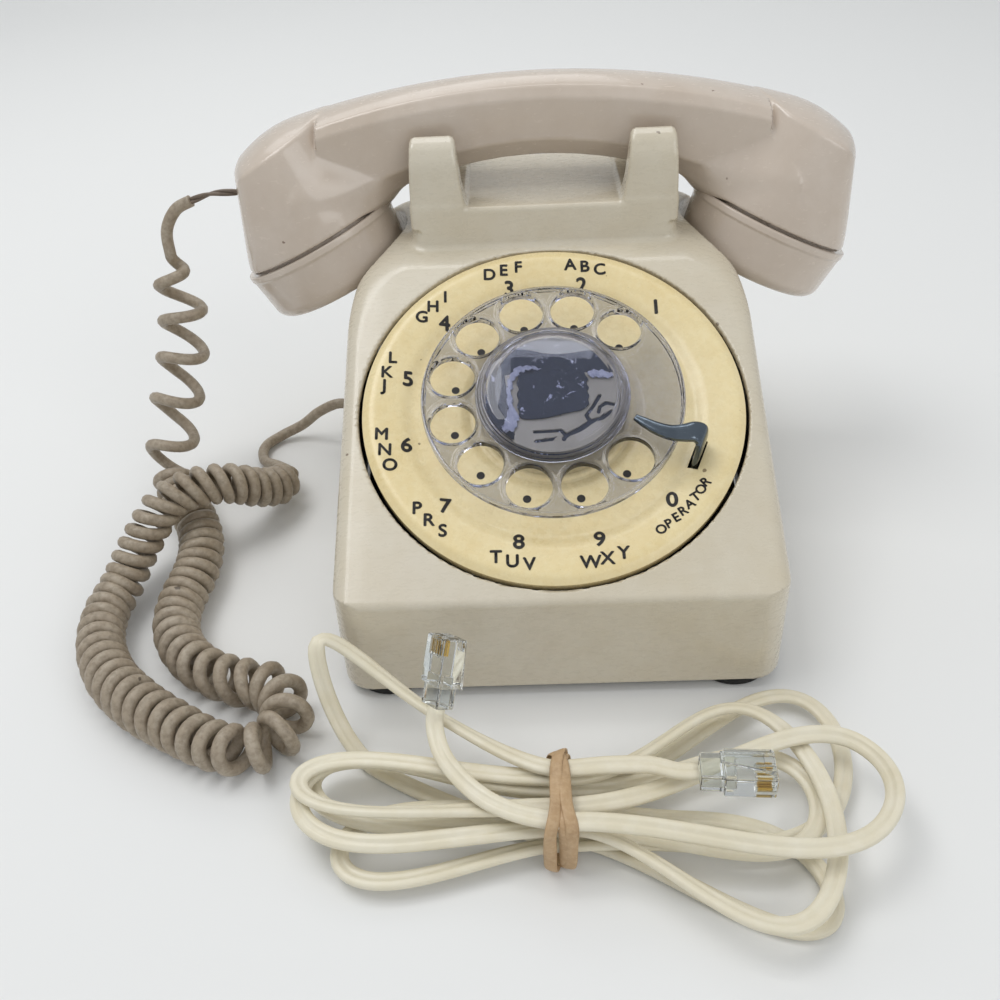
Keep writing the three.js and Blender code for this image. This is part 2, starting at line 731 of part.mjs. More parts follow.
// A bent steel bail: a bar under each plunger, two arms and a pivot rod.
function hookLeverGeometry() {
  const bar = block(-plungerX - 5, plungerX + 5, plungerY - 4, plungerY + 4, 73.9, plungerFootZ - seatGap);
  const arms = [-22, 22].map((x) => {
    const shape = flatShape([
      [leverPivot.y - 3, leverPivot.z - 3], [leverPivot.y + 3, leverPivot.z - 3],
      [plungerY + 2, 73.9], [plungerY + 2, 75.5], [plungerY - 4, 75.5], [leverPivot.y - 3, leverPivot.z + 3],
    ]);
    return extruded(shape, -0.8, 0.8).rotateX(PI / 2).rotateZ(PI / 2).translate(x, 0, 0);
  });
  return joined(bar, ...arms, rodAlongX(1.6, -28.5, 28.5, 12, leverPivot.y, leverPivot.z));
}

function hookBracketGeometry() {
  const cheeks = [-26, 26].map((x) => block(x - 0.8, x + 0.8, 1, 15, 60, 70.5));
  const shelf = block(-26.8, 26.8, 1, 20, 58.4, 60.2);
  const legs = [-24, 24].map((x) => block(x - 2.8, x + 2.8, 18.2, 20, basePlateTop + seatGap, 60.2));
  const toes = [-24, 24].map((x) => {
    return block(x - 2.8, x + 2.8, 18.2, 26, basePlateTop + seatGap, basePlateTop + seatGap + 1.8);
  });
  const bore = rodAlongX(1.65, -40, 40, 12, leverPivot.y, leverPivot.z);
  return cutFrom(joined(shelf, ...cheeks, ...legs, ...toes), bore);
}

function hookContactsGeometry() {
  const pile = block(-9, 9, 3, 9, 60.5, 65.4);
  const leaves = [61.4, 62.8, 64.2].map((z, i) => block(-6 + i, 6 - i, 5, 21, z, z + 0.5));
  return cutFrom(joined(pile, ...leaves), rodAlongX(1.9, -40, 40, 12, leverPivot.y, leverPivot.z));
}

for (const [name, s] of [["plunger_left", -1], ["plunger_right", 1]]) {
  add(set, name, moved(plungerGeometry(), s * plungerX, plungerY, 0), finish.ivory());
}
add(set, "hook_lever", hookLeverGeometry(), finish.steel());
add(set, "hook_bracket", hookBracketGeometry(), finish.zinc());
add(set, "hook_contacts", hookContactsGeometry(), finish.brass());

// ---- Ringer, network and line jack --------------------------------------------------------

const gongRadius = 25;
const gongY = 52;
const gongX = 29;

function gongGeometry() {
  return turned([
    [0, 24], [12, 23.8], [21.5, 21], [gongRadius, 14.6], [gongRadius - 1.1, 14.6], [20.6, 20],
    [11.5, 22.4], [0, 22.6],
  ], 14);
}

function ringerFrameGeometry() {
  const deck = basePlateTop + seatGap;
  const yoke = block(-20, 20, 4, 16, deck, deck + 2);
  const cheeks = [-1, 1].map((s) => block(s * 19 - 1, s * 19 + 1, 4, 16, deck, 32));
  const bed = block(-34, 34, 49, 55, deck, deck + 1.6);
  const tie = block(-8, 8, 15, 50, deck, deck + 1.6);
  const posts = [-1, 1].map((s) => rod(3, deck, 22.1, 10, s * gongX, gongY));
  return joined(yoke, ...cheeks, bed, tie, ...posts);
}

function ringerCoilGeometry() {
  const winding = rodAlongX(8.2, -16, 16, 12, 10, 21.5);
  const flanges = [-1, 1].map((s) => {
    return rodAlongX(9.6, s * 16.7 - 1, s * 16.7 + 1, 12, 10, 21.5);
  });
  return joined(winding, ...flanges);
}

const clapperPivot = { x: 0, y: 21 };

function clapperGeometry() {
  const hub = rod(2.6, 13.2, 17.4, 10, clapperPivot.x, clapperPivot.y);
  const arm = rodAlongY(0.9, clapperPivot.y, gongY, 6, 0, 15.6);
  const ball = rod(2.4, 13.2, 18, 10, 0, gongY);
  return cutFrom(joined(hub, arm, ball), rod(1.4, 10, 22, 10, clapperPivot.x, clapperPivot.y));
}

function clapperPinGeometry() {
  const deck = basePlateTop + 2 * seatGap + 1.6;
  return joined(rod(1.25, deck, 18.6, 10, 0, clapperPivot.y), rod(2.6, deck, 12.8, 12, 0, clapperPivot.y));
}

function loudnessWheelGeometry() {
  const shape = flatShape(gearOutline(10, 11, 9.6), circleOutline(2.6, 8));
  return moved(extruded(shape, basePlateTop + 2, basePlateTop + 4.4), wheelPlace.x, wheelPlace.y, 0);
}

function loudnessPostGeometry() {
  const deck = basePlateTop + seatGap;
  const post = joined(rod(4, deck, basePlateTop + 1.7, 14), rod(2.3, deck, basePlateTop + 6, 12));
  return moved(post, wheelPlace.x, wheelPlace.y, 0);
}

function networkBlockGeometry() {
  const deck = basePlateTop + seatGap;
  const can = slab(roundedRectangle(-57, -14, -43, -2, 3, 2), deck, 27);
  const terminals = [];
  for (let i = 0; i < 4; i++) {
    terminals.push(rod(2, 26.5, 29, 6, -48 + i * 8.2, -10));
  }
  return joined(can, ...terminals);
}

function lineJackGeometry() {
  const shell = block(jackX - 8, jackX + 8, 79, jackFaceY, 8.5, 24.5);
  const socket = block(jackX - 4.95, jackX + 4.95, 81, 110, 12, 18.8);
  const latchWay = block(jackX - 3.2, jackX + 3.2, 82, 110, 18.6, 21.2);
  return cutFrom(shell, socket, latchWay);
}

for (const [name, s] of [["gong_left", -1], ["gong_right", 1]]) {
  add(set, name, moved(gongGeometry(), s * gongX, gongY, 0), finish.brass());
}
add(set, "ringer_frame", ringerFrameGeometry(), finish.zinc());
add(set, "ringer_coil", ringerCoilGeometry(), finish.copper());
add(set, "clapper", clapperGeometry(), finish.brass());
add(set, "clapper_pin", clapperPinGeometry(), finish.steel());
add(set, "loudness_wheel", loudnessWheelGeometry(), finish.ivory());
add(set, "loudness_post", loudnessPostGeometry(), finish.steel());
add(set, "network_block", networkBlockGeometry(), finish.zinc());
add(set, "line_jack", lineJackGeometry(), finish.ivory());

// ---- Handset ------------------------------------------------------------------------------

const handset = new THREE.Group(); // origin midway between the cap seams, X along the handle
handset.position.set(0, handsetPlace.y, handsetPlace.z);
handset.rotation.x = handsetPlace.lean;
part.add(handset);

function crownAt(x) {
  return crownZ - x ** 2 / (2 * crownRadius);
}

// Section of the grip at x: a domed crown with a crease each side, and sides that draw in below.
function gripRing(x) {
  const crown = crownAt(x);
  const crease = crown - 4.6;
  const spread = 15 + 5 * pow(abs(x) / 70, 2);
  const under = gripUndersideZ - x ** 2 / (2 * gripUndersideRadius);
  const foot = spread - 5.5;
  const points = [];
  for (let i = 0; i <= 4; i++) {
    const y = spread * (1 - i / 2);
    points.push([y, crease + 4.6 * (1 - (y / spread) ** 2)]);
  }
  points.push([-foot - 1, under + 4.5], [-foot + 0.6, under + 1.4], [-foot + 3.4, under]);
  points.push([foot - 3.4, under], [foot - 0.6, under + 1.4], [foot + 1, under + 4.5]);
  return points.map(([y, z]) => new THREE.Vector3(x, y, z));
}

function handleGeometry() {
  const stations = [-66, -45, -22, 0, 22, 45, 66];
  const grip = lofted(stations.map(gripRing));
  const cup = turned([[0, -46], [25.2, -46], [capRadius, -20], [capRadius, 0], [0, 0]], 24);
  const cups = [-1, 1].map((side) => placeCap(cup, side));

  // Everything is trimmed under one arched crown, domed from front to back.
  const crownStations = [-102, -97, -87, -60, -30, 0, 30, 60, 87, 97, 102];
  const envelope = lofted(crownStations.map((x) => {
    const end = max(0, (abs(x) - 78) / 24);
    const top = crownAt(x) - 9 * end ** 2.4;
    const ring = [];
    for (let i = 0; i <= 6; i++) {
      const y = 32 * (1 - i / 3);
      ring.push(new THREE.Vector3(x, y, top - y ** 2 / 56));
    }
    ring.push(new THREE.Vector3(x, -32, -40), new THREE.Vector3(x, 32, -40));
    return ring;
  }));
  let handle = [grip, ...cups].map(toSolid).reduce((a, b) => a.add(b)).intersect(toSolid(envelope));
  for (const side of [-1, 1]) {
    handle = handle.subtract(toSolid(placeCap(rod(22.8, -14, 2, 18), side)));
    const spigot = turned([[22.8, -2], [24.4, -2], [24.4, 5.5], [22.8, 5.5]], 18);
    handle = handle.add(toSolid(placeCap(spigot, side)));
  }
  const archPoints = [[-70, 8], [-45, 18], [0, 28], [45, 18], [70, 8]];
  const arch = new THREE.CatmullRomCurve3(archPoints.map(([x, z]) => new THREE.Vector3(x, 0, z)));
  const bore = new THREE.ExtrudeGeometry(flatShape(circleOutline(3.6, 6)), {
    steps: 6, extrudePath: arch, bevelEnabled: false,
  });
  const cordHole = rodAlongX(2, -120, -80, 10, wireExit.y, wireExit.z);
  return toGeometry(handle.subtract(toSolid(bore)).subtract(toSolid(cordHole)));
}

const wireExit = { y: 0, z: 8.5 }; // where the cord's wires leave the left end, in the handset

function perforations(rings, holeRadius) {
  const places = [[0, 0]];
  for (const [count, radius] of rings) {
    for (let i = 0; i < count; i++) {
      const angle = ((i + 0.5) / count) * 2 * PI;
      places.push([radius * cos(angle), radius * sin(angle)]);
    }
  }
  return places.map(([x, y]) => rod(holeRadius, 5, 20, 6, x, y));
}

function capGeometry(rings) {
  const start = seatGap;
  const cap = turned([
    [24.8, start], [capRadius, start], [capRadius, 8], [25.8, 11.6], [22.6, 13.6], [14, 14.9], [0, 15.4],
    [0, 13.2], [14, 12.7], [21.4, 11.2], [24.8, 7],
  ], 20);
  return cutFrom(cap, ...perforations(rings, 1.3));
}

function unitGeometry(depth) {
  return turned([
    [0, -depth], [15, -depth], [16.4, -depth + 1.4], [16.4, 5.8], [24, 5.8], [24, 7.2], [20.4, 10.6],
    [13.4, 12.1], [0, 12.6],
  ], 14);
}

add(handset, "handset_handle", handleGeometry(), finish.handset());
add(handset, "transmitter_cap", placeCap(capGeometry([[6, 7.6]]), -1), finish.handset());
add(handset, "receiver_cap", placeCap(capGeometry([[5, 6]]), 1), finish.handset());
add(handset, "transmitter_unit", placeCap(unitGeometry(6), -1), finish.zinc());
add(handset, "receiver_unit", placeCap(unitGeometry(9), 1), finish.zinc());

// ---- Handset cord -------------------------------------------------------------------------

// Rings of a tube with `sides` flats. The section is 2a wide and 2b thick; when `level` is set
// its width stays parallel to the ground.
function tubeRings(centres, sides, a, b, level = false) {
  const ground = new THREE.Vector3(0, 0, 1);
  const last = centres.length - 1;
  let side;
  return centres.map((centre, i) => {
    const along = centres[min(i + 1, last)].clone().sub(centres[max(i - 1, 0)]).normalize();
    if (level || !side) side = ground.clone().cross(along).normalize();
    else side.addScaledVector(along, -side.dot(along)).normalize();
    const up = along.clone().cross(side);
    return Array.from({ length: sides }, (_, k) => {
      const angle = ((k + 0.5) / sides) * 2 * PI;
      return centre.clone().addScaledVector(side, a * cos(angle)).addScaledVector(up, b * sin(angle));
    });
  });
}

// The least distance between points of a tube that are more than `skip` apart along it.
function leastGap(rings, skip) {
  const centres = rings.map((ring) => {
    return ring.reduce((sum, p) => sum.add(p), new THREE.Vector3()).divideScalar(ring.length);
  });
  let run = 0;
  const arcs = centres.map((p, i) => (i ? (run += p.distanceTo(centres[i - 1])) : 0));
  const dense = rings.map((ring) => ring.flatMap((p, k) => {
    return [p, p.clone().lerp(ring[(k + 1) % ring.length], 0.5)];
  }));
  let best = { gap: Infinity };
  for (let i = 0; i < rings.length; i++) {
    for (let j = i + 1; j < rings.length; j++) {
      if (arcs[j] - arcs[i] < skip || centres[i].distanceTo(centres[j]) > 12) continue;
      for (const p of dense[i]) {
        for (const q of dense[j]) {
          const gap = p.distanceTo(q);
          if (gap < best.gap) best = { gap, at: p.toArray().map(round) };
        }
      }
    }
  }
  return `${best.gap.toFixed(2)} mm at ${best.at}, length ${run.toFixed(0)} mm`;
}

function curveThrough(points) {
  return new THREE.CatmullRomCurve3(points.map((p) => new THREE.Vector3(...p)), false, "centripetal");
}

// Middle of the cord from the bush to the handset. The curls wind round it where they are set.
const tailRoute = [
  [-76, 32, 15.6], [-81, 32, 16.2], [-89, 32.6, 12.5], [-97, 33.6, 6], [-105, 31.4, 2.9], [-110.5, 24, 2.6],
  [-109, 14, 3], [-101, 5, 6],
];
const pileRoute = [
  [-95, -3, 8.2], [-97, -12, 10], [-102, -21, 15.5], [-109, -28, 22.5], [-118, -33.5, 25.5],
  [-127, -40, 24.4], [-134.5, -50, 16.5], [-139, -63, 9.4], [-140.5, -76, 8.2], [-137.5, -90, 8.2],
  [-130, -103, 8.2], [-119, -113.5, 8.2], [-107, -121.5, 8.2], [-94, -128.5, 8.2],
];
const turnRoute = [
  [-84, -130, 8.2], [-77.6, -124.5, 8.2], [-77, -115.5, 8.2], [-83, -108.5, 8.2], [-92, -105.8, 8.2],
];
const returnRoute = [
  [-102, -101.5, 8.2], [-111, -93.5, 8.2], [-116.5, -83, 8.2], [-118, -71, 8.2], [-117, -59, 8.2],
  [-117.5, -48, 8.2], [-120, -38, 8.2], [-124.5, -28, 8.2],
];
const hangRoute = [
  [-130.5, -18, 8.2], [-136, -9, 9.5], [-138.5, 0, 15], [-136.5, 7, 27], [-132, 12.5, 42], [-128, 16.5, 58],
  [-127, 19, 73],
];
const headRoute = [
  [-127.4, 20.5, 84], [-127, 22, 93], [-122.5, 23, 99.6], [-117, 23.2, 102.2], [-112.4, 23.2, 103],
];

function curlyCentres() {
  const points = [...tailRoute, ...pileRoute, ...turnRoute, ...returnRoute, ...hangRoute, ...headRoute];
  const curve = curveThrough(points);
  curve.arcLengthDivisions = 2000;
  const length = curve.getLength();
  const knotCount = points.length - 1;
  const arcOfKnot = (k) => {
    const lengths = curve.getLengths(2000);
    return lengths[round((2000 * k) / knotCount)];
  };
  const marks = [tailRoute, pileRoute, turnRoute, returnRoute, hangRoute].reduce(
    (list, r) => [...list, list.at(-1) + r.length], [0]);
  const arcs = marks.map((k) => arcOfKnot(min(k, knotCount)));
  const [, coilStart, turnStart, turnEnd, hangStart, coilEnd] = arcs;
  const pitchAt = (s) => {
    if (s > hangStart + 14) return 15.5;
    if (s > turnStart - 6 && s < turnEnd + 4) return 10;
    return 7.9;
  };
  // The straight ends: sparse points. The coil: eight points a curl, its radius eased in and out.
  const centres = [];
  for (let s = 0; s < coilStart; s += 5) centres.push(curve.getPointAt(s / length));
  let turn = 0;
  let s = coilStart;
  while (s < coilEnd) {
    const ease = min(1, (s - coilStart) / 9, (coilEnd - s) / 14);
    const radius = curlRadius * sin((max(ease, 0.02) * PI) / 2) * (s > hangStart + 20 ? 1.35 : 1);
    const middle = curve.getPointAt(s / length);
    const along = curve.getTangentAt(s / length);
    const across = new THREE.Vector3(-along.y, along.x, 0).normalize();
    const up = along.clone().cross(across).normalize();
    const angle = turn * 2 * PI;
    middle.addScaledVector(across, radius * sin(angle)).addScaledVector(up, -radius * cos(angle));
    centres.push(middle);
    s += pitchAt(s) / 8;
    turn += 1 / 8;
  }
  for (let u = coilEnd + 3; u < length - 4; u += 4.2) centres.push(curve.getPointAt(u / length));
  centres.push(curve.getPointAt(1));
  console.log("handset cord curls", turn.toFixed(1));
  return centres;
}

function cordBushGeometry() {
  const face = 0.5; // clear of the curved wall
  return placeOnSide(turned([
    [0, -4.8], [bushRadius, -4.8], [bushRadius, face], [6, face], [5.6, face + 1.6], [3.2, face + 4.4],
    [0, face + 4.4],
  ], 12));
}

function wiresGeometry() {
  // From the hole in the handset's left end to the torn end of the jacket.
  const start = new THREE.Vector3(-handsetHalfLength + 1.5, wireExit.y, wireExit.z);
  start.applyAxisAngle(new THREE.Vector3(1, 0, 0), handsetPlace.lean);
  start.add(new THREE.Vector3(0, handsetPlace.y, handsetPlace.z));
  const end = new THREE.Vector3(...headRoute.at(-1));
  end.x += seatGap;
  const route = curveThrough([start.toArray(), [-105, 23.4, 104.2], [-109, 23.2, 103.2], end.toArray()]);
  return lofted(tubeRings(route.getPoints(6), 6, 1.1, 1.1));
}

add(set, "cord_bush", cordBushGeometry(), finish.rubber());
const cords = new THREE.Group();
part.add(cords);
const curlyRings = tubeRings(curlyCentres(), 5, curlyDiameter / 2, curlyDiameter / 2);
console.log("handset cord least gap", leastGap(curlyRings, 20));
add(cords, "handset_cord", lofted(curlyRings), finish.curly());
add(cords, "handset_cord_wires", wiresGeometry(), finish.lead());

// ---- Line cord ----------------------------------------------------------------------------

// The cord is wound by hand: every loop is a lobe to the left and a lobe to the right of the band,
// and no two are alike. A lobe has its reach, its lean to the back for each millimetre out, its
// swell, and how blunt its end is.
const hankCentre = { x: -2, y: -152.4 };
const leftLobes = [
  [64, 0.74, 17, 0.22],
  [55, -0.16, 18, 0.22],
  [64, 0.22, 18, 0.22],
  [66, 0.1, 25, 0.22],
  [66, 0.14, 15, 0.22],
];
const rightLobes = [
  [62, -0.38, 32, 0.22],
  [74, 0.36, 54, 0.22],
  [63, 0.06, 34, 0.22],
  [65, -0.02, 100, 0.5],
  [80, 0.06, -46, 0.22],
];
// How far from its middle line the cord passes through the band, behind it and in front.
const bandBehind = [6.6, 4.4, 6.4, 5.2, 6.2, -8.6];
const bandInFront = [3, 6.8, 4.2, 6.4, 2.4];
const hankLoops = leftLobes.length;
const layerHeight = flatCordThickness + 0.45;
const lowestCentre = flatCordThickness / 2 + 0.2;
const standingRise = 13;

function smooth(t) {
  const c = min(max(t, 0), 1);
  return c * c * (3 - 2 * c);
}

// Each loop lies on the one before and climbs a layer as it enters the band from the right. The
// first stands up in front of the housing and comes back under all the others.
function hankHeight(u, x) {
  if (u < 0.5) {
    const above = hankLoops * layerHeight + standingRise * smooth((u - 0.08) / 0.14);
    return above * (1 - smooth((u - 0.23) / 0.13));
  }
  const turn = round(u);
  if (u > hankLoops - 0.5) return layerHeight * (hankLoops - 1 + smooth((u - hankLoops + 0.3) / 0.1));
  if (abs(u - turn) < 0.25) return layerHeight * (turn - 1 + smooth((32 - x) / 38));
  return layerHeight * Math.floor(u);
}

// Place on the hank after u turns. The two lobes meet at a waist, where the band lifts the cord.
function hankPoint(u) {
  const loop = min(Math.floor(u), hankLoops - 1);
  const part = u - loop;
  const goesOut = part < 0.5;
  const [reach, lean, swell, blunt] = goesOut ? leftLobes[loop] : rightLobes[loop];
  const from = goesOut ? bandBehind[loop] : bandInFront[loop];
  const to = goesOut ? bandInFront[loop] : bandBehind[loop + 1];
  const waist = from + (to - from) * smooth(goesOut ? 2 * part : 2 * part - 1);
  const angle = PI / 2 + 2 * PI * u;
  const c = cos(angle);
  const x = reach * c;
  const swung = (lean * x ** 2) / (abs(x) + 14);
  const y = sin(angle) * (waist + swell * c ** 2 * (1 - blunt * c ** 2)) + swung;
  const z = lowestCentre + hankHeight(u, x) + 0.9 * Math.exp(-((x / 16) ** 2));
  return new THREE.Vector3(hankCentre.x + x, hankCentre.y + y, z);
}

const plugOne = { rear: [-33.1, -130.1, 23.4], nose: [-30.4, -122, 34.8] };
const plugTwo = { rear: [31.3, -148.8, 18.5], nose: [49.3, -150, 18.5] };

// Points behind a plug in line with it, nearest first, so that the cord meets it squarely.
function behindPlug({ rear, nose }, distances) {
  const along = new THREE.Vector3(...nose).sub(new THREE.Vector3(...rear)).normalize();
  return distances.map((d) => new THREE.Vector3(...rear).addScaledVector(along, -d));
}

function flatCordCentres() {
  const steps = 24 * hankLoops;
  const wound = Array.from({ length: steps + 1 }, (_, i) => hankPoint((i * hankLoops) / steps));
  const toPlugTwo = [[20, -146.6, 18.6], [10, -145.6, 17.7]];
  const toPlugOne = [[-12, -158.6, 16.9], [-20, -154.6, 17], [-27, -147.9, 17.2], [-32, -140, 17.5]];
  return [
    ...behindPlug(plugTwo, [seatGap, 5.3]),
    ...toPlugTwo.map((p) => new THREE.Vector3(...p)),
    ...wound,
    ...toPlugOne.map((p) => new THREE.Vector3(...p)),
    ...behindPlug(plugOne, [4.3, seatGap]),
  ];
}

// A modular plug along +X from its cord end at x = 0: body, nose slots, latch.
function plugGeometry() {
  const body = block(0, 12.4, -4.8, 4.8, -3.3, 3.3);
  const tail = block(-5.6, 0.2, -4, 4, -2.6, 2.6);
  const slots = [-2.04, -0.68, 0.68, 2.04].map((y) => block(7.6, 14, y - 0.28, y + 0.28, 1.6, 5));
  const latch = lofted([
    ringAt([[0, -3], [0, 3], [-1.1, 3], [-1.1, -3]], 0),
    ringAt([[0, -1.6], [0, 1.6], [-1, 1.6], [-1, -1.6]], 13.4),
  ].map((ring) => ring.map((p) => new THREE.Vector3(12.2 - p.z, p.y, -3.2 + p.x - 0.14 * p.z))));
  return cutFrom(joined(body, tail, latch), ...slots);
}

function placedPlug({ rear, nose }, roll) {
  const g = moved(plugGeometry(), 5.6, 0, 0).rotateX(roll);
  const along = new THREE.Vector3(...nose).sub(new THREE.Vector3(...rear)).normalize();
  g.applyQuaternion(new THREE.Quaternion().setFromUnitVectors(new THREE.Vector3(1, 0, 0), along));
  return g.translate(...rear);
}

function rubberBandGeometry() {
  const front = hankCentre.y - 12.6;
  const back = hankCentre.y + 12.6;
  const top = 19.4;
  const wall = 0.6;
  const outer = roundedRectangle(front, back, 0, top, 3, 2);
  const inner = roundedRectangle(front + wall, back - wall, wall, top - wall, 2.4, 2);
  const ring = extruded(flatShape(outer, inner), -3.6, 3.6).rotateX(PI / 2).rotateZ(PI / 2);
  return moved(ring, hankCentre.x - 0.5, 0, 0);
}

const flatRings = tubeRings(flatCordCentres(), 6, flatCordWidth / 2, flatCordThickness / 2, true);
console.log("line cord least gap", leastGap(flatRings, 30));
add(cords, "line_cord", lofted(flatRings), finish.ivory());
add(cords, "line_plug_front", placedPlug(plugOne, 0), finish.plug());
add(cords, "line_plug_right", placedPlug(plugTwo, PI), finish.plug());
add(cords, "rubber_band", rubberBandGeometry(), finish.band());

export default part;
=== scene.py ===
import math

import bmesh
import bpy
import numpy as np
from mathutils import Matrix, Vector


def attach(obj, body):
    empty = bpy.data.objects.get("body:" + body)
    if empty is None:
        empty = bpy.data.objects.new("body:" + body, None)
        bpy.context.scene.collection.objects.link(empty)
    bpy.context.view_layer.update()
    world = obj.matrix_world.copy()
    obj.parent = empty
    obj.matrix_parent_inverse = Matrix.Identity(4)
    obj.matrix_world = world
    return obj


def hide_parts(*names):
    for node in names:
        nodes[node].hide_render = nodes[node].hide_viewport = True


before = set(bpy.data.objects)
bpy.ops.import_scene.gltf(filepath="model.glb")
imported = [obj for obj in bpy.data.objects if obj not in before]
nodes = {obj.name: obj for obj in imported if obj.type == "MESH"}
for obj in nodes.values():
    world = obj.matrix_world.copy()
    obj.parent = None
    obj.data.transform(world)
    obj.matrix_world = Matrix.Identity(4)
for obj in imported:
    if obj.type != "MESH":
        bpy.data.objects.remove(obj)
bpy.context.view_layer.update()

# A rotary desk telephone. Shapes are worked out in millimetres and put into meshes in metres.
mm = 0.001


# Small tools.

def linear(hexColour):  # "#rrggbb" as seen on a screen, to the linear values that nodes take
    values = np.array([int(hexColour[i:i + 2], 16) for i in (1, 3, 5)]) / 255
    bright = ((values + 0.055) / 1.055) ** 2.4
    return (*np.where(values > 0.04045, bright, values / 12.92).tolist(), 1.0)


def perMetre(millimetres):  # noise scale whose features are about that wide
    return 1000.0 / millimetres


def smooth(t):  # 0 to 1 with level ends: 3t² - 2t³
    c = np.clip(t, 0, 1)
    return c * c * (3 - 2 * c)


def addNode(tree, kind, inputs=None, links=None, **settings):
    made = tree.nodes.new(kind)
    for name, value in settings.items():
        setattr(made, name, value)
    for name, value in (inputs or {}).items():
        made.inputs[name].default_value = value
    for name, source in (links or {}).items():
        tree.links.new(source, made.inputs[name])
    return made


def newMaterial(name, shaderInputs):
    material = bpy.data.materials.new(name)
    material.use_nodes = True
    tree = material.node_tree
    tree.nodes.clear()
    shader = addNode(tree, "ShaderNodeBsdfPrincipled", inputs=shaderInputs)
    addNode(tree, "ShaderNodeOutputMaterial", links={"Surface": shader.outputs["BSDF"]})
    place = addNode(tree, "ShaderNodeTexCoord").outputs["Object"]
    return material, tree, shader, place


def linked(name, data):  # a new object in the scene
    made = bpy.data.objects.new(name, data)
    bpy.context.scene.collection.objects.link(made)
    return made


def addPiece(name, mesh, body, material, slot=None, replaces=()):
    piece = linked(name, mesh)
    mesh.materials.append(material)
    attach(piece, body)
    if replaces:
        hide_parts(*replaces)
    return piece


def meshOf(name, points, faces, smoothShade=True):  # points in millimetres
    mesh = bpy.data.meshes.new(name)
    mesh.from_pydata((np.asarray(points) * mm).tolist(), [],
                     faces.tolist() if isinstance(faces, np.ndarray) else faces)
    mesh.update()
    mesh.shade_smooth() if smoothShade else mesh.shade_flat()
    return mesh


def gridFaces(rows, columns, closedRows=False, closedColumns=True):
    # Quads between neighbours on a grid of rows by columns, joined round where it closes.
    r = np.arange(rows if closedRows else rows - 1)
    c = np.arange(columns if closedColumns else columns - 1)
    r, c = np.meshgrid(r, c, indexing="ij")
    down, across = (r + 1) % rows, (c + 1) % columns
    corners = [r * columns + c, r * columns + across, down * columns + across, down * columns + c]
    return np.stack(corners, -1).reshape(-1, 4)


def tubeMesh(name, rings):
    # Rings of points carried along a path, shape (stations, around, 3), closed by a fan at each end.
    count, around = rings.shape[:2]
    points = np.concatenate([rings.reshape(-1, 3), rings[[0, -1]].mean(1)])
    faces = gridFaces(count, around)
    k = np.arange(around)
    first = np.stack([(k + 1) % around, k, np.full(around, count * around)], -1)
    end = (count - 1) * around
    last = np.stack([end + k, end + (k + 1) % around, np.full(around, count * around + 1)], -1)
    return outward(meshOf(name, points, [*faces.tolist(), *first.tolist(), *last.tolist()]))


def softened(profile, radius, steps=4):
    # A profile whose corners are drawn as arcs: each corner P turns into the curve
    # (1-t)² A + 2t(1-t) P + t² B between points A and B at `radius` along its two sides.
    profile = np.asarray(profile, float)
    middle = profile[1:-1]
    toBefore, toAfter = profile[:-2] - middle, profile[2:] - middle
    lengthBefore = np.linalg.norm(toBefore, axis=1, keepdims=True)
    lengthAfter = np.linalg.norm(toAfter, axis=1, keepdims=True)
    radius = np.broadcast_to(np.asarray(radius, float).reshape(-1, 1), (len(middle), 1))
    a = middle + toBefore / lengthBefore * np.minimum(radius, lengthBefore * 0.45)
    b = middle + toAfter / lengthAfter * np.minimum(radius, lengthAfter * 0.45)
    t = np.linspace(0, 1, steps + 1)[None, :, None]
    arcs = (1 - t) ** 2 * a[:, None] + 2 * t * (1 - t) * middle[:, None] + t ** 2 * b[:, None]
    return np.concatenate([profile[:1], arcs.reshape(-1, 2), profile[-1:]])


def turnedPoints(profile, steps):
    # A profile of radius and height turned about Z: (r cos a, r sin a, z).
    angle = np.linspace(0, 2 * np.pi, steps, endpoint=False)
    r, z = profile[:, 0][:, None], profile[:, 1][:, None]
    return np.stack([r * np.cos(angle), r * np.sin(angle), z + 0 * angle], -1)


def turnedMesh(name, profile, steps=96, place=None):
    # The profile starts and ends on Z, or closes on itself, and runs so that faces look outwards.
    rings = turnedPoints(profile, steps)
    onAxis = abs(profile[0, 0]) < 1e-9 and abs(profile[-1, 0]) < 1e-9
    if onAxis:
        points = np.concatenate([rings[1:-1].reshape(-1, 3), rings[[0, -1], 0]])
        count = len(rings) - 2
        k = np.arange(steps)
        end = (count - 1) * steps
        faces = [
            *gridFaces(count, steps).tolist(),
            *np.stack([(k + 1) % steps, k, np.full(steps, count * steps)], -1).tolist(),
            *np.stack([end + k, end + (k + 1) % steps, np.full(steps, count * steps + 1)], -1).tolist(),
        ]
    else:
        points = rings.reshape(-1, 3)
        faces = gridFaces(len(rings), steps, closedRows=True).tolist()
    if place is not None:
        points = place(points)
    return outward(meshOf(name, points, faces))


def coordinates(mesh):  # a mesh's points in millimetres
    co = np.zeros(len(mesh.vertices) * 3)
    mesh.vertices.foreach_get("co", co)
    return co.reshape(-1, 3) / mm


def outward(mesh):  # turns every face over if the closed mesh's volume comes out negative
    mesh.calc_loop_triangles()
    triangles = np.zeros(len(mesh.loop_triangles) * 3, int)
    mesh.loop_triangles.foreach_get("vertices", triangles)
    a, b, c = coordinates(mesh)[triangles.reshape(-1, 3)].transpose(1, 0, 2)
    if np.einsum("ij,ij->", a, np.cross(b, c)) < 0:
        mesh.flip_normals()
    mesh.update()
    return mesh


def roundMax(a, b, r):
    # Two distances crossed, with the edge between them rolled over an arc of radius r.
    u, v = np.maximum(a + r, 0), np.maximum(b + r, 0)
    return np.minimum(-r, np.maximum(a, b)) + np.hypot(u, v)


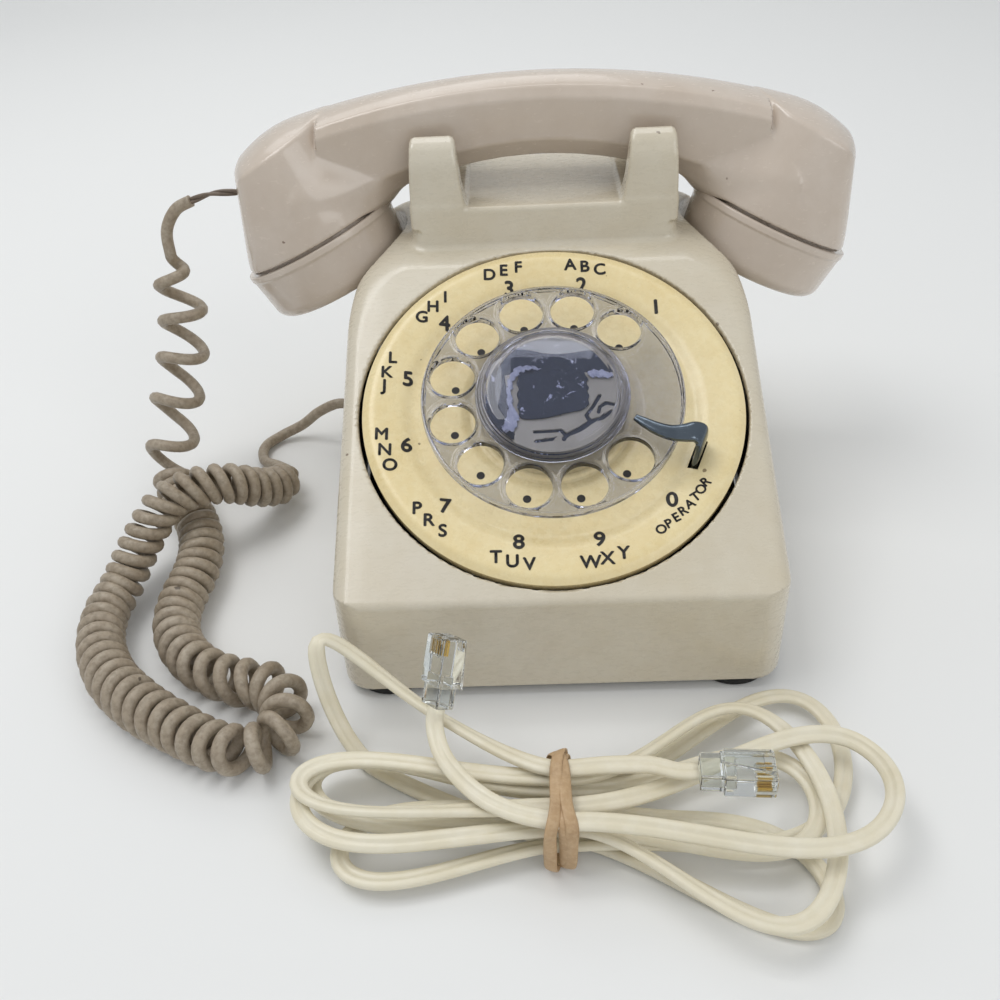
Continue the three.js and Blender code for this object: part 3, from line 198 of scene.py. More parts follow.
def roundMin(a, b, r):  # two distances joined, with a fillet of radius r
    return -roundMax(-a, -b, r)


def bevelMax(a, b, w, r=0.4):  # two distances crossed, with a flat chamfer of width w between them
    c = (a + b + w) * math.sqrt(0.5)
    return roundMax(roundMax(a, c, r), b, r)


def skinMesh(name, distance, low, high, cell, place=None, keep=1.0):
    # The surface where distance(x, y, z) is nought. Each cell of a lattice that the surface cuts
    # gets one point, at the middle of its cut edges, which then slides down the distance's slope
    # onto the surface; neighbouring points make quads, and the slope gives each point's normal.
    axes = [np.arange(a, b + cell, cell) for a, b in zip(low, high)]
    d = distance(*np.meshgrid(*axes, indexing="ij"))
    inside = d < 0
    counts = sum(inside[i:i + d.shape[0] - 1, j:j + d.shape[1] - 1, k:k + d.shape[2] - 1].astype(np.int8)
                 for i in (0, 1) for j in (0, 1) for k in (0, 1))
    cut = np.argwhere((counts > 0) & (counts < 8))
    number = np.full(counts.shape, -1)
    number[tuple(cut.T)] = np.arange(len(cut))
    total, seen = np.zeros((len(cut), 3)), np.zeros(len(cut))
    for axis in range(3):
        others = [a for a in range(3) if a != axis]
        for s in (0, 1):
            for t in (0, 1):
                start = np.zeros(3, int)
                start[others[0]], start[others[1]] = s, t
                step = np.zeros(3, int)
                step[axis] = 1
                a = d[tuple((cut + start).T)]
                b = d[tuple((cut + start + step).T)]
                crossed = (a < 0) != (b < 0)
                share = np.where(crossed, a / np.where(crossed, a - b, 1), 0)
                total += crossed[:, None] * (start + share[:, None] * step)
                seen += crossed
    points = np.array(low) + (cut + total / seen[:, None]) * cell
    faces = []
    for axis in range(3):
        b, c = (axis + 1) % 3, (axis + 2) % 3
        here = inside.take(range(d.shape[axis] - 1), axis)
        there = inside.take(range(1, d.shape[axis]), axis)
        edge = np.argwhere(here != there)
        edge = edge[(edge[:, b] > 0) & (edge[:, c] > 0)
                    & (edge[:, b] < d.shape[b] - 1) & (edge[:, c] < d.shape[c] - 1)]
        back = np.zeros((4, 3), int)
        back[[0, 3], b] = 1
        back[[0, 1], c] = 1
        quad = number[tuple((edge[:, None] - back).reshape(-1, 3).T)].reshape(-1, 4)
        flip = ~here[tuple(edge.T)]
        faces.append(np.where(flip[:, None], quad[:, ::-1], quad))
    e = cell * 0.05

    def slope(p):
        x, y, z = p.T
        return np.stack([distance(x + e, y, z) - distance(x - e, y, z),
                         distance(x, y + e, z) - distance(x, y - e, z),
                         distance(x, y, z + e) - distance(x, y, z - e)], -1) / (2 * e)

    for _ in range(3):
        g = slope(points)
        off = distance(*points.T) / np.maximum((g * g).sum(1), 0.2)
        points = points - g * np.clip(off, -cell * 0.5, cell * 0.5)[:, None]
    faces = np.concatenate(faces)
    mesh = meshOf(name, points, faces)
    if keep < 1:  # fewer faces where it is flat, as the normals come from the distance anyway
        mesh = decimated(mesh, keep)
        points = coordinates(mesh)
    normals = slope(points)
    normals /= np.maximum(np.linalg.norm(normals, axis=1, keepdims=True), 1e-9)
    if place is not None:
        turned = place(points + normals) - place(points)
        points, normals = place(points), turned
        mesh.vertices.foreach_set("co", (points * mm).ravel())
    mesh.update()
    mesh.normals_split_custom_set_from_vertices(normals.tolist())
    print(name, len(mesh.polygons), "faces")
    return mesh


def finalMesh(piece):  # the mesh that an object comes to with its modifiers; the object is taken away
    made = bpy.data.meshes.new_from_object(piece.evaluated_get(bpy.context.evaluated_depsgraph_get()))
    bpy.data.objects.remove(piece)
    return made


def decimated(mesh, keep):
    piece = linked("reduced", mesh)
    piece.modifiers.new("fewer", "DECIMATE").ratio = keep
    made = finalMesh(piece)
    made.name = mesh.name
    made.shade_smooth()
    return made


def cutMesh(mesh, cutter):  # mesh with the cutter's room taken out
    whole, tool = linked("whole", mesh), linked("tool", cutter)
    cut = whole.modifiers.new("cut", "BOOLEAN")
    cut.operation, cut.object, cut.solver = "DIFFERENCE", tool, "EXACT"
    made = finalMesh(whole)
    made.name = mesh.name
    bpy.data.objects.remove(tool)
    return made


def boxMesh(name, x0, x1, y0, y1, z0, z1, place=None):
    points = np.array([[x, y, z] for x in (x0, x1) for y in (y0, y1) for z in (z0, z1)], float)
    faces = [[0, 1, 3, 2], [4, 6, 7, 5], [0, 4, 5, 1], [2, 3, 7, 6], [0, 2, 6, 4], [1, 5, 7, 3]]
    return outward(meshOf(name, points if place is None else place(points), faces, False))


def turnAbout(points, axis, angle):  # points turned about an axis through the origin
    return points @ np.array(Matrix.Rotation(angle, 3, axis)).T


# Camera.

camera = {"place": (-7.9, -302.5, 219.0), "turn": -2.05, "down": 37.05, "roll": -3.15, "lens": 36.0}


def makeCamera():
    data = bpy.data.cameras.new("camera")
    data.lens, data.sensor_width = camera["lens"], 36.0
    data.clip_start, data.clip_end = 0.02, 20
    made = linked("camera", data)
    turn, down, roll = (math.radians(camera[k]) for k in ("turn", "down", "roll"))
    ahead = np.array([math.sin(turn) * math.cos(down), math.cos(turn) * math.cos(down), -math.sin(down)])
    right = np.array([math.cos(turn), -math.sin(turn), 0])
    up = np.cross(right, ahead)
    x = right * math.cos(roll) + up * math.sin(roll)
    y = -right * math.sin(roll) + up * math.cos(roll)
    matrix = Matrix([[*row] for row in np.stack([x, y, -ahead], 1)]).to_4x4()
    matrix.translation = Vector(camera["place"]) * mm
    made.matrix_world = matrix
    bpy.context.scene.camera = made


makeCamera()
print("camera")


# Materials.

def noise(tree, place, size, detail, roughness=0.5, distortion=0.0):  # clouds about `size` mm wide
    values = {"Scale": perMetre(size), "Detail": detail, "Roughness": roughness, "Distortion": distortion}
    return addNode(tree, "ShaderNodeTexNoise", values, {"Vector": place}).outputs["Fac"]


def spread(tree, value, low, high, least=0.0, most=1.0):
    # What lies between low and high is drawn out from least to most, and held there beyond them.
    values = {"From Min": low, "From Max": high, "To Min": least, "To Max": most}
    return addNode(tree, "ShaderNodeMapRange", values, {"Value": value}).outputs["Result"]


def mixed(tree, share, base, tint):  # the base, a hex colour or a socket, with a share of the tint
    mix = addNode(tree, "ShaderNodeMix", {7: linear(tint)}, {0: share}, data_type="RGBA")
    if isinstance(base, str):
        mix.inputs[6].default_value = linear(base)
    else:
        tree.links.new(base, mix.inputs[6])
    return mix.outputs[2]


def speckled(tree, place, base, patches, specks=None, speckGap=9.0):
    # Base colour drifting over patches of (size in mm, colour, strength), then lone dark chips: in a
    # share of the cells, about speckGap mm wide, a ragged spot round the cell's own point.
    colour = base
    for size, tint, strength in patches:
        share = spread(tree, noise(tree, place, size, 5.0, 0.6), 0.42, 0.68, most=strength)
        colour = mixed(tree, share, colour, tint)
    if specks:
        cells = addNode(tree, "ShaderNodeTexVoronoi", {"Scale": perMetre(speckGap)}, {"Vector": place})
        size = spread(tree, cells.outputs["Color"], 0.6, 0.95, -0.08, 0.03)
        ragged = noise(tree, place, 0.9, 3.0)
        edge = addNode(tree, "ShaderNodeMath", {1: -0.16}, {0: ragged, 2: cells.outputs["Distance"]},
                       operation="MULTIPLY_ADD")
        inside = addNode(tree, "ShaderNodeMath", links={0: size, 1: edge.outputs["Value"]},
                         operation="SUBTRACT")
        share = spread(tree, inside.outputs["Value"], -0.01, 0.015, most=0.8)
        colour = mixed(tree, share, colour, specks)
    return colour


def scratchRoughness(tree, place, low, high, length=6.0, stretch=12.0):
    # Fine scratches: noise stretched one way, which raises the roughness along its lines.
    values = {"Scale": (1.0, stretch, stretch), "Rotation": (0.3, 0.2, 0.7)}
    stretched = addNode(tree, "ShaderNodeMapping", values, {"Vector": place}).outputs["Vector"]
    return spread(tree, noise(tree, stretched, length, 6.0, 0.7), 0.45, 0.7, low, high)


def finished(tree, shader, colour, roughness=None):
    tree.links.new(colour, shader.inputs["Base Color"])
    if roughness:
        tree.links.new(roughness, shader.inputs["Roughness"])


def bumped(tree, shader, height, strength, distance):
    bump = addNode(tree, "ShaderNodeBump", {"Strength": strength, "Distance": distance * mm},
                   {"Height": height})
    tree.links.new(bump.outputs["Normal"], shader.inputs["Normal"])


def mouldedPlastic(name, base, patches, specks, low, high):
    # ABS moulded glossy and aged in the hand: soft even shine, faint orange peel, drifts of yellow.
    material, tree, shader, place = newMaterial(name, {"IOR": 1.5, "Coat Weight": 0.35,
                                                       "Coat Roughness": 0.06})
    finished(tree, shader, speckled(tree, place, base, patches, specks),
             scratchRoughness(tree, place, low, high, 4.0, 2.5))
    bumped(tree, shader, noise(tree, place, 1.4, 2.0), 0.03, 0.05)
    return material


housingAbs = mouldedPlastic("ABS housing, moulded and yellowed", "#d0c7b4",
                            [(90, "#c9bda2", 0.7), (26, "#d6cfbd", 0.5), (7, "#c3b8a0", 0.25)], "#6d5c49",
                            0.27, 0.36)
handsetAbs = mouldedPlastic("ABS handset, moulded and polished by hands", "#cabcad",
                            [(70, "#c0b09e", 0.7), (20, "#d1c5b8", 0.5), (6, "#b9a998", 0.2)], "#6a4f40",
                            0.18, 0.32)


def agedEnamel():
    # Stoved enamel on steel: glassy cream paint, grimy in drifts, with chips and specks.
    material, tree, shader, place = newMaterial("cream enamel on the dial plate", {"IOR": 1.52})
    colour = speckled(tree, place, "#e9d7a6",
                      [(38, "#e1cb94", 0.8), (9, "#dac48e", 0.35), (2.4, "#eee0b6", 0.4)], "#6e5a36", 6.0)
    finished(tree, shader, colour, scratchRoughness(tree, place, 0.26, 0.38, 3.0, 1.0))
    return material


plateEnamel = agedEnamel()


def clearPlastic(name, tint, low, high):
    # Clear acrylic, moulded: sharp edge lights, hairline scratches; lamps shine through to what lies behind.
    material, tree, shader, place = newMaterial(
        name, {"Base Color": linear(tint), "Transmission Weight": 1.0, "IOR": 1.49})
    tree.links.new(scratchRoughness(tree, place, low, high, 2.0), shader.inputs["Roughness"])
    path = addNode(tree, "ShaderNodeLightPath")
    through = addNode(tree, "ShaderNodeBsdfTransparent", {"Color": (0.86, 0.86, 0.86, 1)})
    mix = addNode(tree, "ShaderNodeMixShader",
                  links={0: path.outputs["Is Shadow Ray"], 1: shader.outputs["BSDF"],
                         2: through.outputs["BSDF"]})
    output = next(n for n in tree.nodes if n.bl_idname == "ShaderNodeOutputMaterial")
    tree.links.new(mix.outputs["Shader"], output.inputs["Surface"])
    return material


# The blue grey tint is painted reflection: it stands in for the bluish light that the clear acrylic reflects,
# strongest at its thick edges.
wheelAcrylic = clearPlastic("clear acrylic, moulded and a little smoky", "#ccd0e2", 0.01, 0.08)
plugPolycarbonate = clearPlastic("clear polycarbonate, moulded", "#f1f4f4", 0.02, 0.10)


def metal(name, base, patches, low, high, specks=None):
    # Metal parts, pressed or turned: brushed along one way, dulled in drifts.
    material, tree, shader, place = newMaterial(name, {"Metallic": 1.0})
    finished(tree, shader, speckled(tree, place, base, patches, specks),
             scratchRoughness(tree, place, low, high, 3.0))
    return material


stopSteel = metal("steel finger stop, polished and tarnished", "#646d76", [(8, "#4c545c", 0.6)], 0.16, 0.28)
zincSteel = metal("zinc plated sheet steel", "#a9abae", [(18, "#8f9196", 0.6), (4, "#b7b9bb", 0.5)], 0.35,
                  0.55)
turnedBrass = metal("brass, turned and pressed", "#b5924c", [(12, "#9a7a3c", 0.6)], 0.28, 0.45)
windingCopper = metal("copper winding wire", "#a8683f", [(3, "#8a5230", 0.7)], 0.30, 0.45)
contactGold = metal("gold flashed contacts", "#d9b45c", [(1.5, "#c29a44", 0.5)], 0.18, 0.28)


def rubbery(name, base, patches, specks, low, high, peelSize, bumpStrength):
    # Vinyl or rubber: no clear highlight, grime in the surface grain.
    material, tree, shader, place = newMaterial(name, {"IOR": 1.47})
    finished(tree, shader, speckled(tree, place, base, patches, specks),
             scratchRoughness(tree, place, low, high))
    bumped(tree, shader, noise(tree, place, peelSize, 4.0), bumpStrength, 0.25)
    return material


curlyVinyl = rubbery("vinyl jacket of the curly cord, grimy", "#a39582",
                     [(30, "#958670", 0.7), (5, "#b3a896", 0.6), (1.6, "#766957", 0.6)], "#4a3f33", 0.42,
                     0.62, 1.1, 0.35)
flatVinyl = rubbery("ivory vinyl jacket of the line cord", "#e0d8c0",
                    [(40, "#d6cbae", 0.6), (6, "#e7e1cf", 0.5)], None, 0.30, 0.44, 1.8, 0.12)
bandRubber = rubbery("natural rubber band, aged", "#b99a74",
                     [(6, "#a08260", 0.7), (1.2, "#cbb08c", 0.5)], None, 0.45, 0.62, 0.7, 0.4)
footRubber = rubbery("black rubber feet", "#161616", [(6, "#22211f", 0.6)], None, 0.6, 0.8, 0.8, 0.3)
bushVinyl = rubbery("dark vinyl cord bush", "#3a352f", [(4, "#2a2622", 0.6)], None, 0.5, 0.65, 1.0, 0.2)
ivoryNylon = rubbery("ivory nylon, moulded", "#ded9c8", [(10, "#d2cbb5", 0.5)], None, 0.35, 0.5, 2.0, 0.08)
wireVinyl = rubbery("thin wire insulation", "#77695a", [(3, "#5d5044", 0.6)], None, 0.4, 0.55, 0.8, 0.15)


def printedInk():
    # Screen printed black ink, a little worn: flat black with grey pin holes.
    material, tree, shader, place = newMaterial("black printing ink", {"IOR": 1.45, "Roughness": 0.5})
    finished(tree, shader, speckled(tree, place, "#1d1b19", [(1.2, "#34302b", 0.5)]))
    return material


blackInk = printedInk()


def wornCard():
    # Paper card with its print side worn off in flakes: slate ground, pale torn fibres along its edges.
    material, tree, shader, place = newMaterial("worn paper card", {"IOR": 1.45, "Roughness": 0.75})
    flakes = spread(tree, noise(tree, place, 4.2, 9.0, 0.72, 0.6), 0.60, 0.63)
    ground = speckled(tree, place, "#343a46", [(7, "#2a303b", 0.6), (1.5, "#464c58", 0.3)])
    finished(tree, shader, mixed(tree, flakes, ground, "#c3c6d6"))
    return material


# The same slate also colours the dark sheet of painted shade that lies under the card plate.
darkCardAndShadeSheet = wornCard()
paleFibre = rubbery("torn paper fibre", "#b9bac6", [(3, "#8d90a0", 0.6), (1, "#d4d5dc", 0.6)], None, 0.7,
                    0.85, 0.5, 0.5)
cardPlatePaint = mouldedPlastic("beige enamel on the card plate", "#bdb49c", [(9, "#a89f88", 0.6)],
                                "#4e4638", 0.3, 0.45)
print("materials")


# Routes of the cords.

def curvePoints(knots, perSpan):
    # Centripetal Catmull-Rom curve: each span is a cubic whose end slopes come from its neighbours,
    # weighed by the root of the distances between the knots.
    knots = np.asarray(knots, float)
    first, last = 2 * knots[0] - knots[1], 2 * knots[-1] - knots[-2]
    p = np.concatenate([[first], knots, [last]])
    gap = np.sqrt(np.linalg.norm(np.diff(p, axis=0), axis=1))[:, None]
    p0, p1, p2, p3 = p[:-3], p[1:-2], p[2:-1], p[3:]
    g0, g1, g2 = gap[:-2], gap[1:-1], gap[2:]
    m1 = ((p1 - p0) / g0 - (p2 - p0) / (g0 + g1) + (p2 - p1) / g1) * g1
    m2 = ((p2 - p1) / g1 - (p3 - p1) / (g1 + g2) + (p3 - p2) / g2) * g1
    c2, c3 = -3 * p1 + 3 * p2 - 2 * m1 - m2, 2 * p1 - 2 * p2 + m1 + m2
    t = (np.arange(perSpan) / perSpan)[None, :, None]
    points = p1[:, None] + m1[:, None] * t + c2[:, None] * t ** 2 + c3[:, None] * t ** 3
    return np.concatenate([points.reshape(-1, 3), knots[-1:]])


handsetPlace, handsetLean = (0, 24, 95), math.radians(-8)


def fromHandset(points):  # from the handset's own frame to the set's
    return turnAbout(points, "X", handsetLean) + handsetPlace


def lengthAlong(points):
    return np.concatenate([[0], np.cumsum(np.linalg.norm(np.diff(points, axis=0), axis=1))])


def resampled(points, count):
    run = lengthAlong(points)
    at = np.linspace(0, run[-1], count)
    return np.stack([np.interp(at, run, points[:, k]) for k in range(3)], -1)


curly = {"diameter": 4.0, "curlRadius": 5.7, "pitch": 5.0, "turnPitch": 6.6, "hangPitch": 15.5,
         "hangWider": 1.35, "slack": 0.06, "lean": 0.34}
tailRoute = [(-76, 32, 15.6), (-81, 32, 16.2), (-89, 32.6, 12.5), (-97, 33.6, 6), (-105, 31.4, 2.9),
             (-110.5, 24, 2.6), (-109, 14, 3), (-101, 5, 6)]
pileRoute = [(-95, -3, 8.2), (-97, -12, 10), (-102, -21, 15.5), (-109, -28, 22.5), (-118, -33.5, 25.5),
             (-127, -40, 24.4), (-134.5, -50, 16.5), (-139, -63, 9.4), (-140.5, -76, 8.2), (-137.5, -90, 8.2),
             (-130, -103, 8.2), (-119, -113.5, 8.2), (-107, -121.5, 8.2), (-94, -128.5, 8.2)]
turnRoute = [(-84, -130, 8.2), (-77.6, -124.5, 8.2), (-77, -115.5, 8.2), (-83, -108.5, 8.2),
             (-92, -105.8, 8.2)]
returnRoute = [(-102, -101.5, 8.2), (-111, -93.5, 8.2), (-116.5, -83, 8.2), (-118, -71, 8.2),
               (-117, -59, 8.2), (-117.5, -48, 8.2), (-120, -38, 8.2), (-124.5, -28, 8.2)]
hangRoute = [(-130.5, -18, 8.2), (-136, -9, 9.5), (-138.5, 0, 15), (-136.5, 7, 27), (-132, 12.5, 42),
             (-128, 16.5, 58), (-127, 19, 73)]
headRoute = [(-127.4, 20.5, 84), (-127, 22, 93), (-122.5, 23, 99.6), (-117, 23.2, 102.2)]


def routeFrame(points):  # unit vectors along a route, level across it, and square to both
    along = np.gradient(points, axis=0)
    along /= np.linalg.norm(along, axis=1, keepdims=True)
    side = np.cross([0, 0, 1.0], along)
    side /= np.linalg.norm(side, axis=1, keepdims=True)
    return along, side, np.cross(along, side)


def ringsAlong(line, side, up, wide, high):  # a section carried along a line: wide across, high up
    wide, high = np.atleast_2d(wide)[..., None], np.atleast_2d(high)[..., None]
    return line[:, None] + side[:, None] * wide + up[:, None] * high


def rolledOver(side, up, roll):  # a section's two unit vectors, turned about the route
    return side * np.cos(roll) + up * np.sin(roll), up * np.cos(roll) - side * np.sin(roll)


def rounded(angle, halfWidth, halfHeight, widePower, highPower):
    # A section between an ellipse and its box: powers of cos and sin below one, with their signs kept.
    c, s = np.cos(angle), np.sin(angle)
    return halfWidth * np.sign(c) * np.abs(c) ** widePower, halfHeight * np.sign(s) * np.abs(s) ** highPower


def curlyCentres():
    # Middle m(s) of the coil, and round it a curl: m + r (across sin a - up cos a), where a grows by
    # one turn for each pitch of s, and r eases in and out at the coil's ends. The curls are a little
    # slack, and each leans along the route, by a share of r that swings from side to side.
    routes = [tailRoute, pileRoute, turnRoute, returnRoute, hangRoute]
    knots = [p for route in routes for p in route] + headRoute
    perSpan = 60
    middle = curvePoints(knots, perSpan)
    run = lengthAlong(middle)
    marks = np.cumsum([len(route) for route in routes])
    coilStart, turnStart, turnEnd, hangStart, coilEnd = run[marks * perSpan]
    s = np.concatenate([np.arange(0, coilStart, 1.5), np.arange(coilStart, coilEnd, 0.22),
                        np.arange(coilEnd, run[-1], 1.2), run[-1:]])
    pitch = np.where(s > hangStart + 14, curly["hangPitch"],
                     np.where((s > turnStart - 6) & (s < turnEnd + 4), curly["turnPitch"], curly["pitch"]))
    coiled = (s >= coilStart) & (s < coilEnd)
    turns = np.cumsum(np.where(coiled, np.diff(s, append=s[-1]) / pitch, 0))
    ease = np.clip(np.minimum((s - coilStart) / 9, (coilEnd - s) / 14), 0, 1)
    wider = 1 + (curly["hangWider"] - 1) * smooth((s - hangStart - 12) / 16)
    worn = 1 - curly["slack"] * (1 + np.sin(s / 17 + 2 * np.sin(s / 41)))
    radius = (curly["curlRadius"] * np.sin(ease * np.pi / 2) * wider * worn)[:, None]
    m = np.stack([np.interp(s, run, middle[:, k]) for k in range(3)], -1)
    along, across, up = routeFrame(m)
    angle = (turns * 2 * np.pi)[:, None]
    lean = curly["lean"] * np.sin(angle + (1.6 * np.sin(s / 27))[:, None])
    return m + radius * (across * np.sin(angle) - up * np.cos(angle) + along * lean)


def makeHandsetCord():
    centres = curlyCentres() * mm
    data = bpy.data.curves.new("handsetCord", "CURVE")
    data.dimensions, data.twist_mode = "3D", "MINIMUM"
    spline = data.splines.new("POLY")
    spline.points.add(len(centres) - 1)
    spline.points.foreach_set("co", np.c_[centres, np.ones(len(centres))].astype(np.float32).ravel())
    data.bevel_depth, data.bevel_resolution = curly["diameter"] / 2 * mm, 3
    data.use_fill_caps = True
    data.materials.append(curlyVinyl)
    cord = linked("curlyHandsetCord", data)
    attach(cord, "base")
    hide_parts("handset_cord")
    length = float(lengthAlong(centres)[-1])
    print("curly cord", round(length, 3), "m")
    return cord, length


wires = {"thickness": 0.62, "spread": 0.55}


def makeWires():
    # Two thin wires twisted round one line: centre + spread (side cos a + up sin a), a quarter turn per 6 mm.
    start = fromHandset(np.array([-97.5, 0, 8.5]))
    knots = [start, (-103, 23.6, 104.3), (-110, 23.3, 104.2), (-116.7, 23.2, 102.3)]
    line = resampled(curvePoints(knots, 30), 90)
    line = np.concatenate([line, line[-1:] + (line[-1] - line[-2]) * 4])
    side, up = routeFrame(line)[1:]
    angle = lengthAlong(line) / 6 * np.pi / 2
    made = []
    for i in (0, 1):
        a = (angle + i * np.pi)[:, None]
        centre = line + wires["spread"] * (side * np.cos(a) + up * np.sin(a))
        b = np.linspace(0, 2 * np.pi, 10, endpoint=False)
        rings = ringsAlong(centre, side, up, wires["thickness"] * np.cos(b), wires["thickness"] * np.sin(b))
        mesh = tubeMesh(f"handsetWire{i + 1}", rings)
        made.append(addPiece(f"handsetWire{i + 1}", mesh, "handset", wireVinyl, "wire_insulation",
                             ["handset_cord_wires"] if i == 0 else ()))
    return made


handsetCord, handsetCordLength = makeHandsetCord()
handsetWires = makeWires()

hank = {"centre": (-2.0, -152.4), "loops": 5, "layer": 2.95, "lowest": 1.45, "standing": 13.0,
        "width": 4.6, "thickness": 2.4, "groove": 0.36, "roll": 0.42}
# Each loop has a left and a right lobe: its reach, lean, swell and bluntness.
leftLobes = np.array([(64, 0.74, 17, 0.22), (55, -0.16, 18, 0.22), (64, 0.22, 18, 0.22), (66, 0.1, 25, 0.22),
                      (66, 0.14, 15, 0.22)])
rightLobes = np.array([(62, -0.38, 32, 0.22), (74, 0.36, 54, 0.22), (63, 0.06, 34, 0.22),
                       (65, -0.02, 100, 0.5), (80, 0.06, -46, 0.22)])
bandBehind = np.array([6.6, 4.4, 6.4, 5.2, 6.2, -8.6])  # how far behind and in front of the middle
bandInFront = np.array([3, 6.8, 4.2, 6.4, 2.4])  # each loop passes under the band
plugOne = {"rear": np.array([-33.1, -130.1, 23.4]), "nose": np.array([-30.4, -122.0, 34.8])}
plugTwo = {"rear": np.array([31.3, -148.8, 18.5]), "nose": np.array([49.3, -150.0, 18.5])}


def hankHeight(u, x):
    # The first lobe stands up before the housing, each later loop lies a layer higher and climbs
    # along its right half.
    layer, loops = hank["layer"], hank["loops"]
    turn = np.round(u)
    first = (loops * layer + hank["standing"] * smooth((u - 0.08) / 0.14)) * (1 - smooth((u - 0.23) / 0.13))
    last = layer * (loops - 1 + smooth((u - loops + 0.3) / 0.1))
    climb = layer * (turn - 1 + smooth((32 - x) / 38))
    return np.select([u < 0.5, u > loops - 0.5, np.abs(u - turn) < 0.25], [first, last, climb],
                     layer * np.floor(u))


def hankPoints(u):
    # u turns round the hank: x = reach cos a, y = sin a (waist + swell cos² a (1 - blunt cos² a))
    # + lean x² / (|x| + 14), so that each turn has two lobes that meet under the band.
    loop = np.minimum(np.floor(u).astype(int), hank["loops"] - 1)
    part = u - loop
    goesOut = part < 0.5
    reach, lean, swell, blunt = np.where(goesOut[:, None], leftLobes[loop], rightLobes[loop]).T
    start = np.where(goesOut, bandBehind[loop], bandInFront[loop])
    end = np.where(goesOut, bandInFront[loop], bandBehind[loop + 1])
    waist = start + (end - start) * smooth(np.where(goesOut, 2 * part, 2 * part - 1))
    angle = np.pi / 2 + 2 * np.pi * u
    c = np.cos(angle)
    x = reach * c
    y = np.sin(angle) * (waist + swell * c ** 2 * (1 - blunt * c ** 2)) + lean * x ** 2 / (np.abs(x) + 14)
    z = hank["lowest"] + hankHeight(u, x) + 0.9 * np.exp(-((x / 16) ** 2))
    return np.stack([hank["centre"][0] + x, hank["centre"][1] + y, z], -1)


def behindPlug(plug, distances):
    along = (plug["nose"] - plug["rear"]) / np.linalg.norm(plug["nose"] - plug["rear"])
    return plug["rear"] - np.array(distances)[:, None] * along


def flatCordCentres():
    perLoop = 96
    wound = hankPoints(np.arange(perLoop * hank["loops"] + 1) / perLoop)
    toPlugTwo = [(20, -146.6, 18.6), (10, -145.6, 17.7)]
    toPlugOne = [(-12, -158.6, 16.9), (-20, -154.6, 17), (-27, -147.9, 17.2), (-32, -140, 17.5)]
    knots = np.concatenate([behindPlug(plugTwo, [0.3, 5.3]), toPlugTwo, wound, toPlugOne,
                            behindPlug(plugOne, [4.3, 0.3])])[::-1]
    line = curvePoints(knots, 12)
    return resampled(line, int(lengthAlong(line)[-1] / 1.6))


def makeLineCord():
    # A flat section carried along the route: half width cos b, half thickness sin b drawn in over the
    # middle, which leaves a groove along both faces. It rolls a little to each side as it goes.
    centres = flatCordCentres()
    side, up = routeFrame(centres)[1:]
    s = lengthAlong(centres)[:, None]
    # No roll where it meets the plugs, nor where it lies on the floor.
    ease = smooth(np.minimum(s, s[-1] - s) / 25) * smooth((centres[:, 2:] - 1.8) / 5)
    roll = hank["roll"] * ease * (np.sin(s / 37) + 0.6 * np.sin(s / 14.3 + 1))
    side, up = rolledOver(side, up, roll)
    b = np.linspace(0, 2 * np.pi, 36, endpoint=False)
    wide, high = rounded(b, hank["width"] / 2, hank["thickness"] / 2, 0.8, 0.7)
    rings = ringsAlong(centres, side, up, wide, high * (1 - hank["groove"] * np.exp(-((wide / 0.4) ** 2))))
    cord = addPiece("flatLineCord", tubeMesh("flatLineCord", rings), "base", flatVinyl, "line_jacket",
                    ["line_cord"])
    length = float(lengthAlong(centres)[-1]) * mm
    print("line cord", round(length, 3), "m")
    return cord, length, centres * mm


lineCord, lineCordLength, lineCordPath = makeLineCord()


# Plugs and band.

def plugDistance(x, y, z):
    # A small block with a stepped tail, four contact slots in its nose and a leaf that springs away below.
    def block(x0, x1, half, low, high, r):
        across = roundMax(np.abs(y) - half, np.abs(z - (low + high) / 2) - (high - low) / 2, r)
        return roundMax(across, np.abs(x - (x0 + x1) / 2) - (x1 - x0) / 2, r)

    body = roundMin(block(5.6, 18, 4.8, -3.3, 3.3, 0.5), block(0, 6.2, 4, -2.6, 2.6, 0.5), 0.3)
    for k in (-1.5, -0.5, 0.5, 1.5):
        slot = np.maximum(np.maximum(np.abs(y - k * 1.36) - 0.3, 13.2 - x), 1.6 - z)
        body = roundMax(body, -slot, 0.1)
    mouth = np.maximum(np.maximum(np.abs(y) - 2.7, np.abs(z) - 1.5), x - 8.5)  # where the cord is gripped
    body = roundMax(body, -mouth, 0.2)
    t = np.clip((17.8 - x) / 13.4, 0, 1)
    middle = -3.7 - 0.14 * (17.8 - x) - 0.04 * t
    leaf = roundMax(np.abs(z - middle) - 0.5, np.abs(y) - (3 - 1.4 * t), 0.3)
    leaf = roundMax(leaf, np.abs(x - 11.1) - 6.7, 0.3)
    return roundMin(body, leaf, 0.4)


def placeAt(plug, roll):
    along = Vector((plug["nose"] - plug["rear"]).tolist()).normalized()
    turn = np.array(Vector((1, 0, 0)).rotation_difference(along).to_matrix())
    rolled = np.array(Matrix.Rotation(roll, 3, "X"))
    return lambda points: points @ rolled.T @ turn.T + plug["rear"]


def makePlug(name, node, plug, roll):
    place = placeAt(plug, roll)
    mesh = skinMesh(name, plugDistance, (-1, -6, -7.5), (19.5, 6, 4.5), 0.28, place, 0.6)
    pieces = [addPiece(name, mesh, "base", plugPolycarbonate, "plug_clear", [node])]
    for i, k in enumerate((-1.5, -0.5, 0.5, 1.5)):
        blade = boxMesh(f"{name}Contact{i + 1}", 13.6, 17.0, k * 1.36 - 0.13, k * 1.36 + 0.13, 1.0, 2.5,
                        place)
        pieces.append(addPiece(f"{name}Contact{i + 1}", blade, "base", contactGold, "brass"))
    return pieces


band = {"halfDepth": 12.4, "height": 18.8, "middleX": -2.5, "strands": 3, "width": 3.2, "thickness": 0.9}


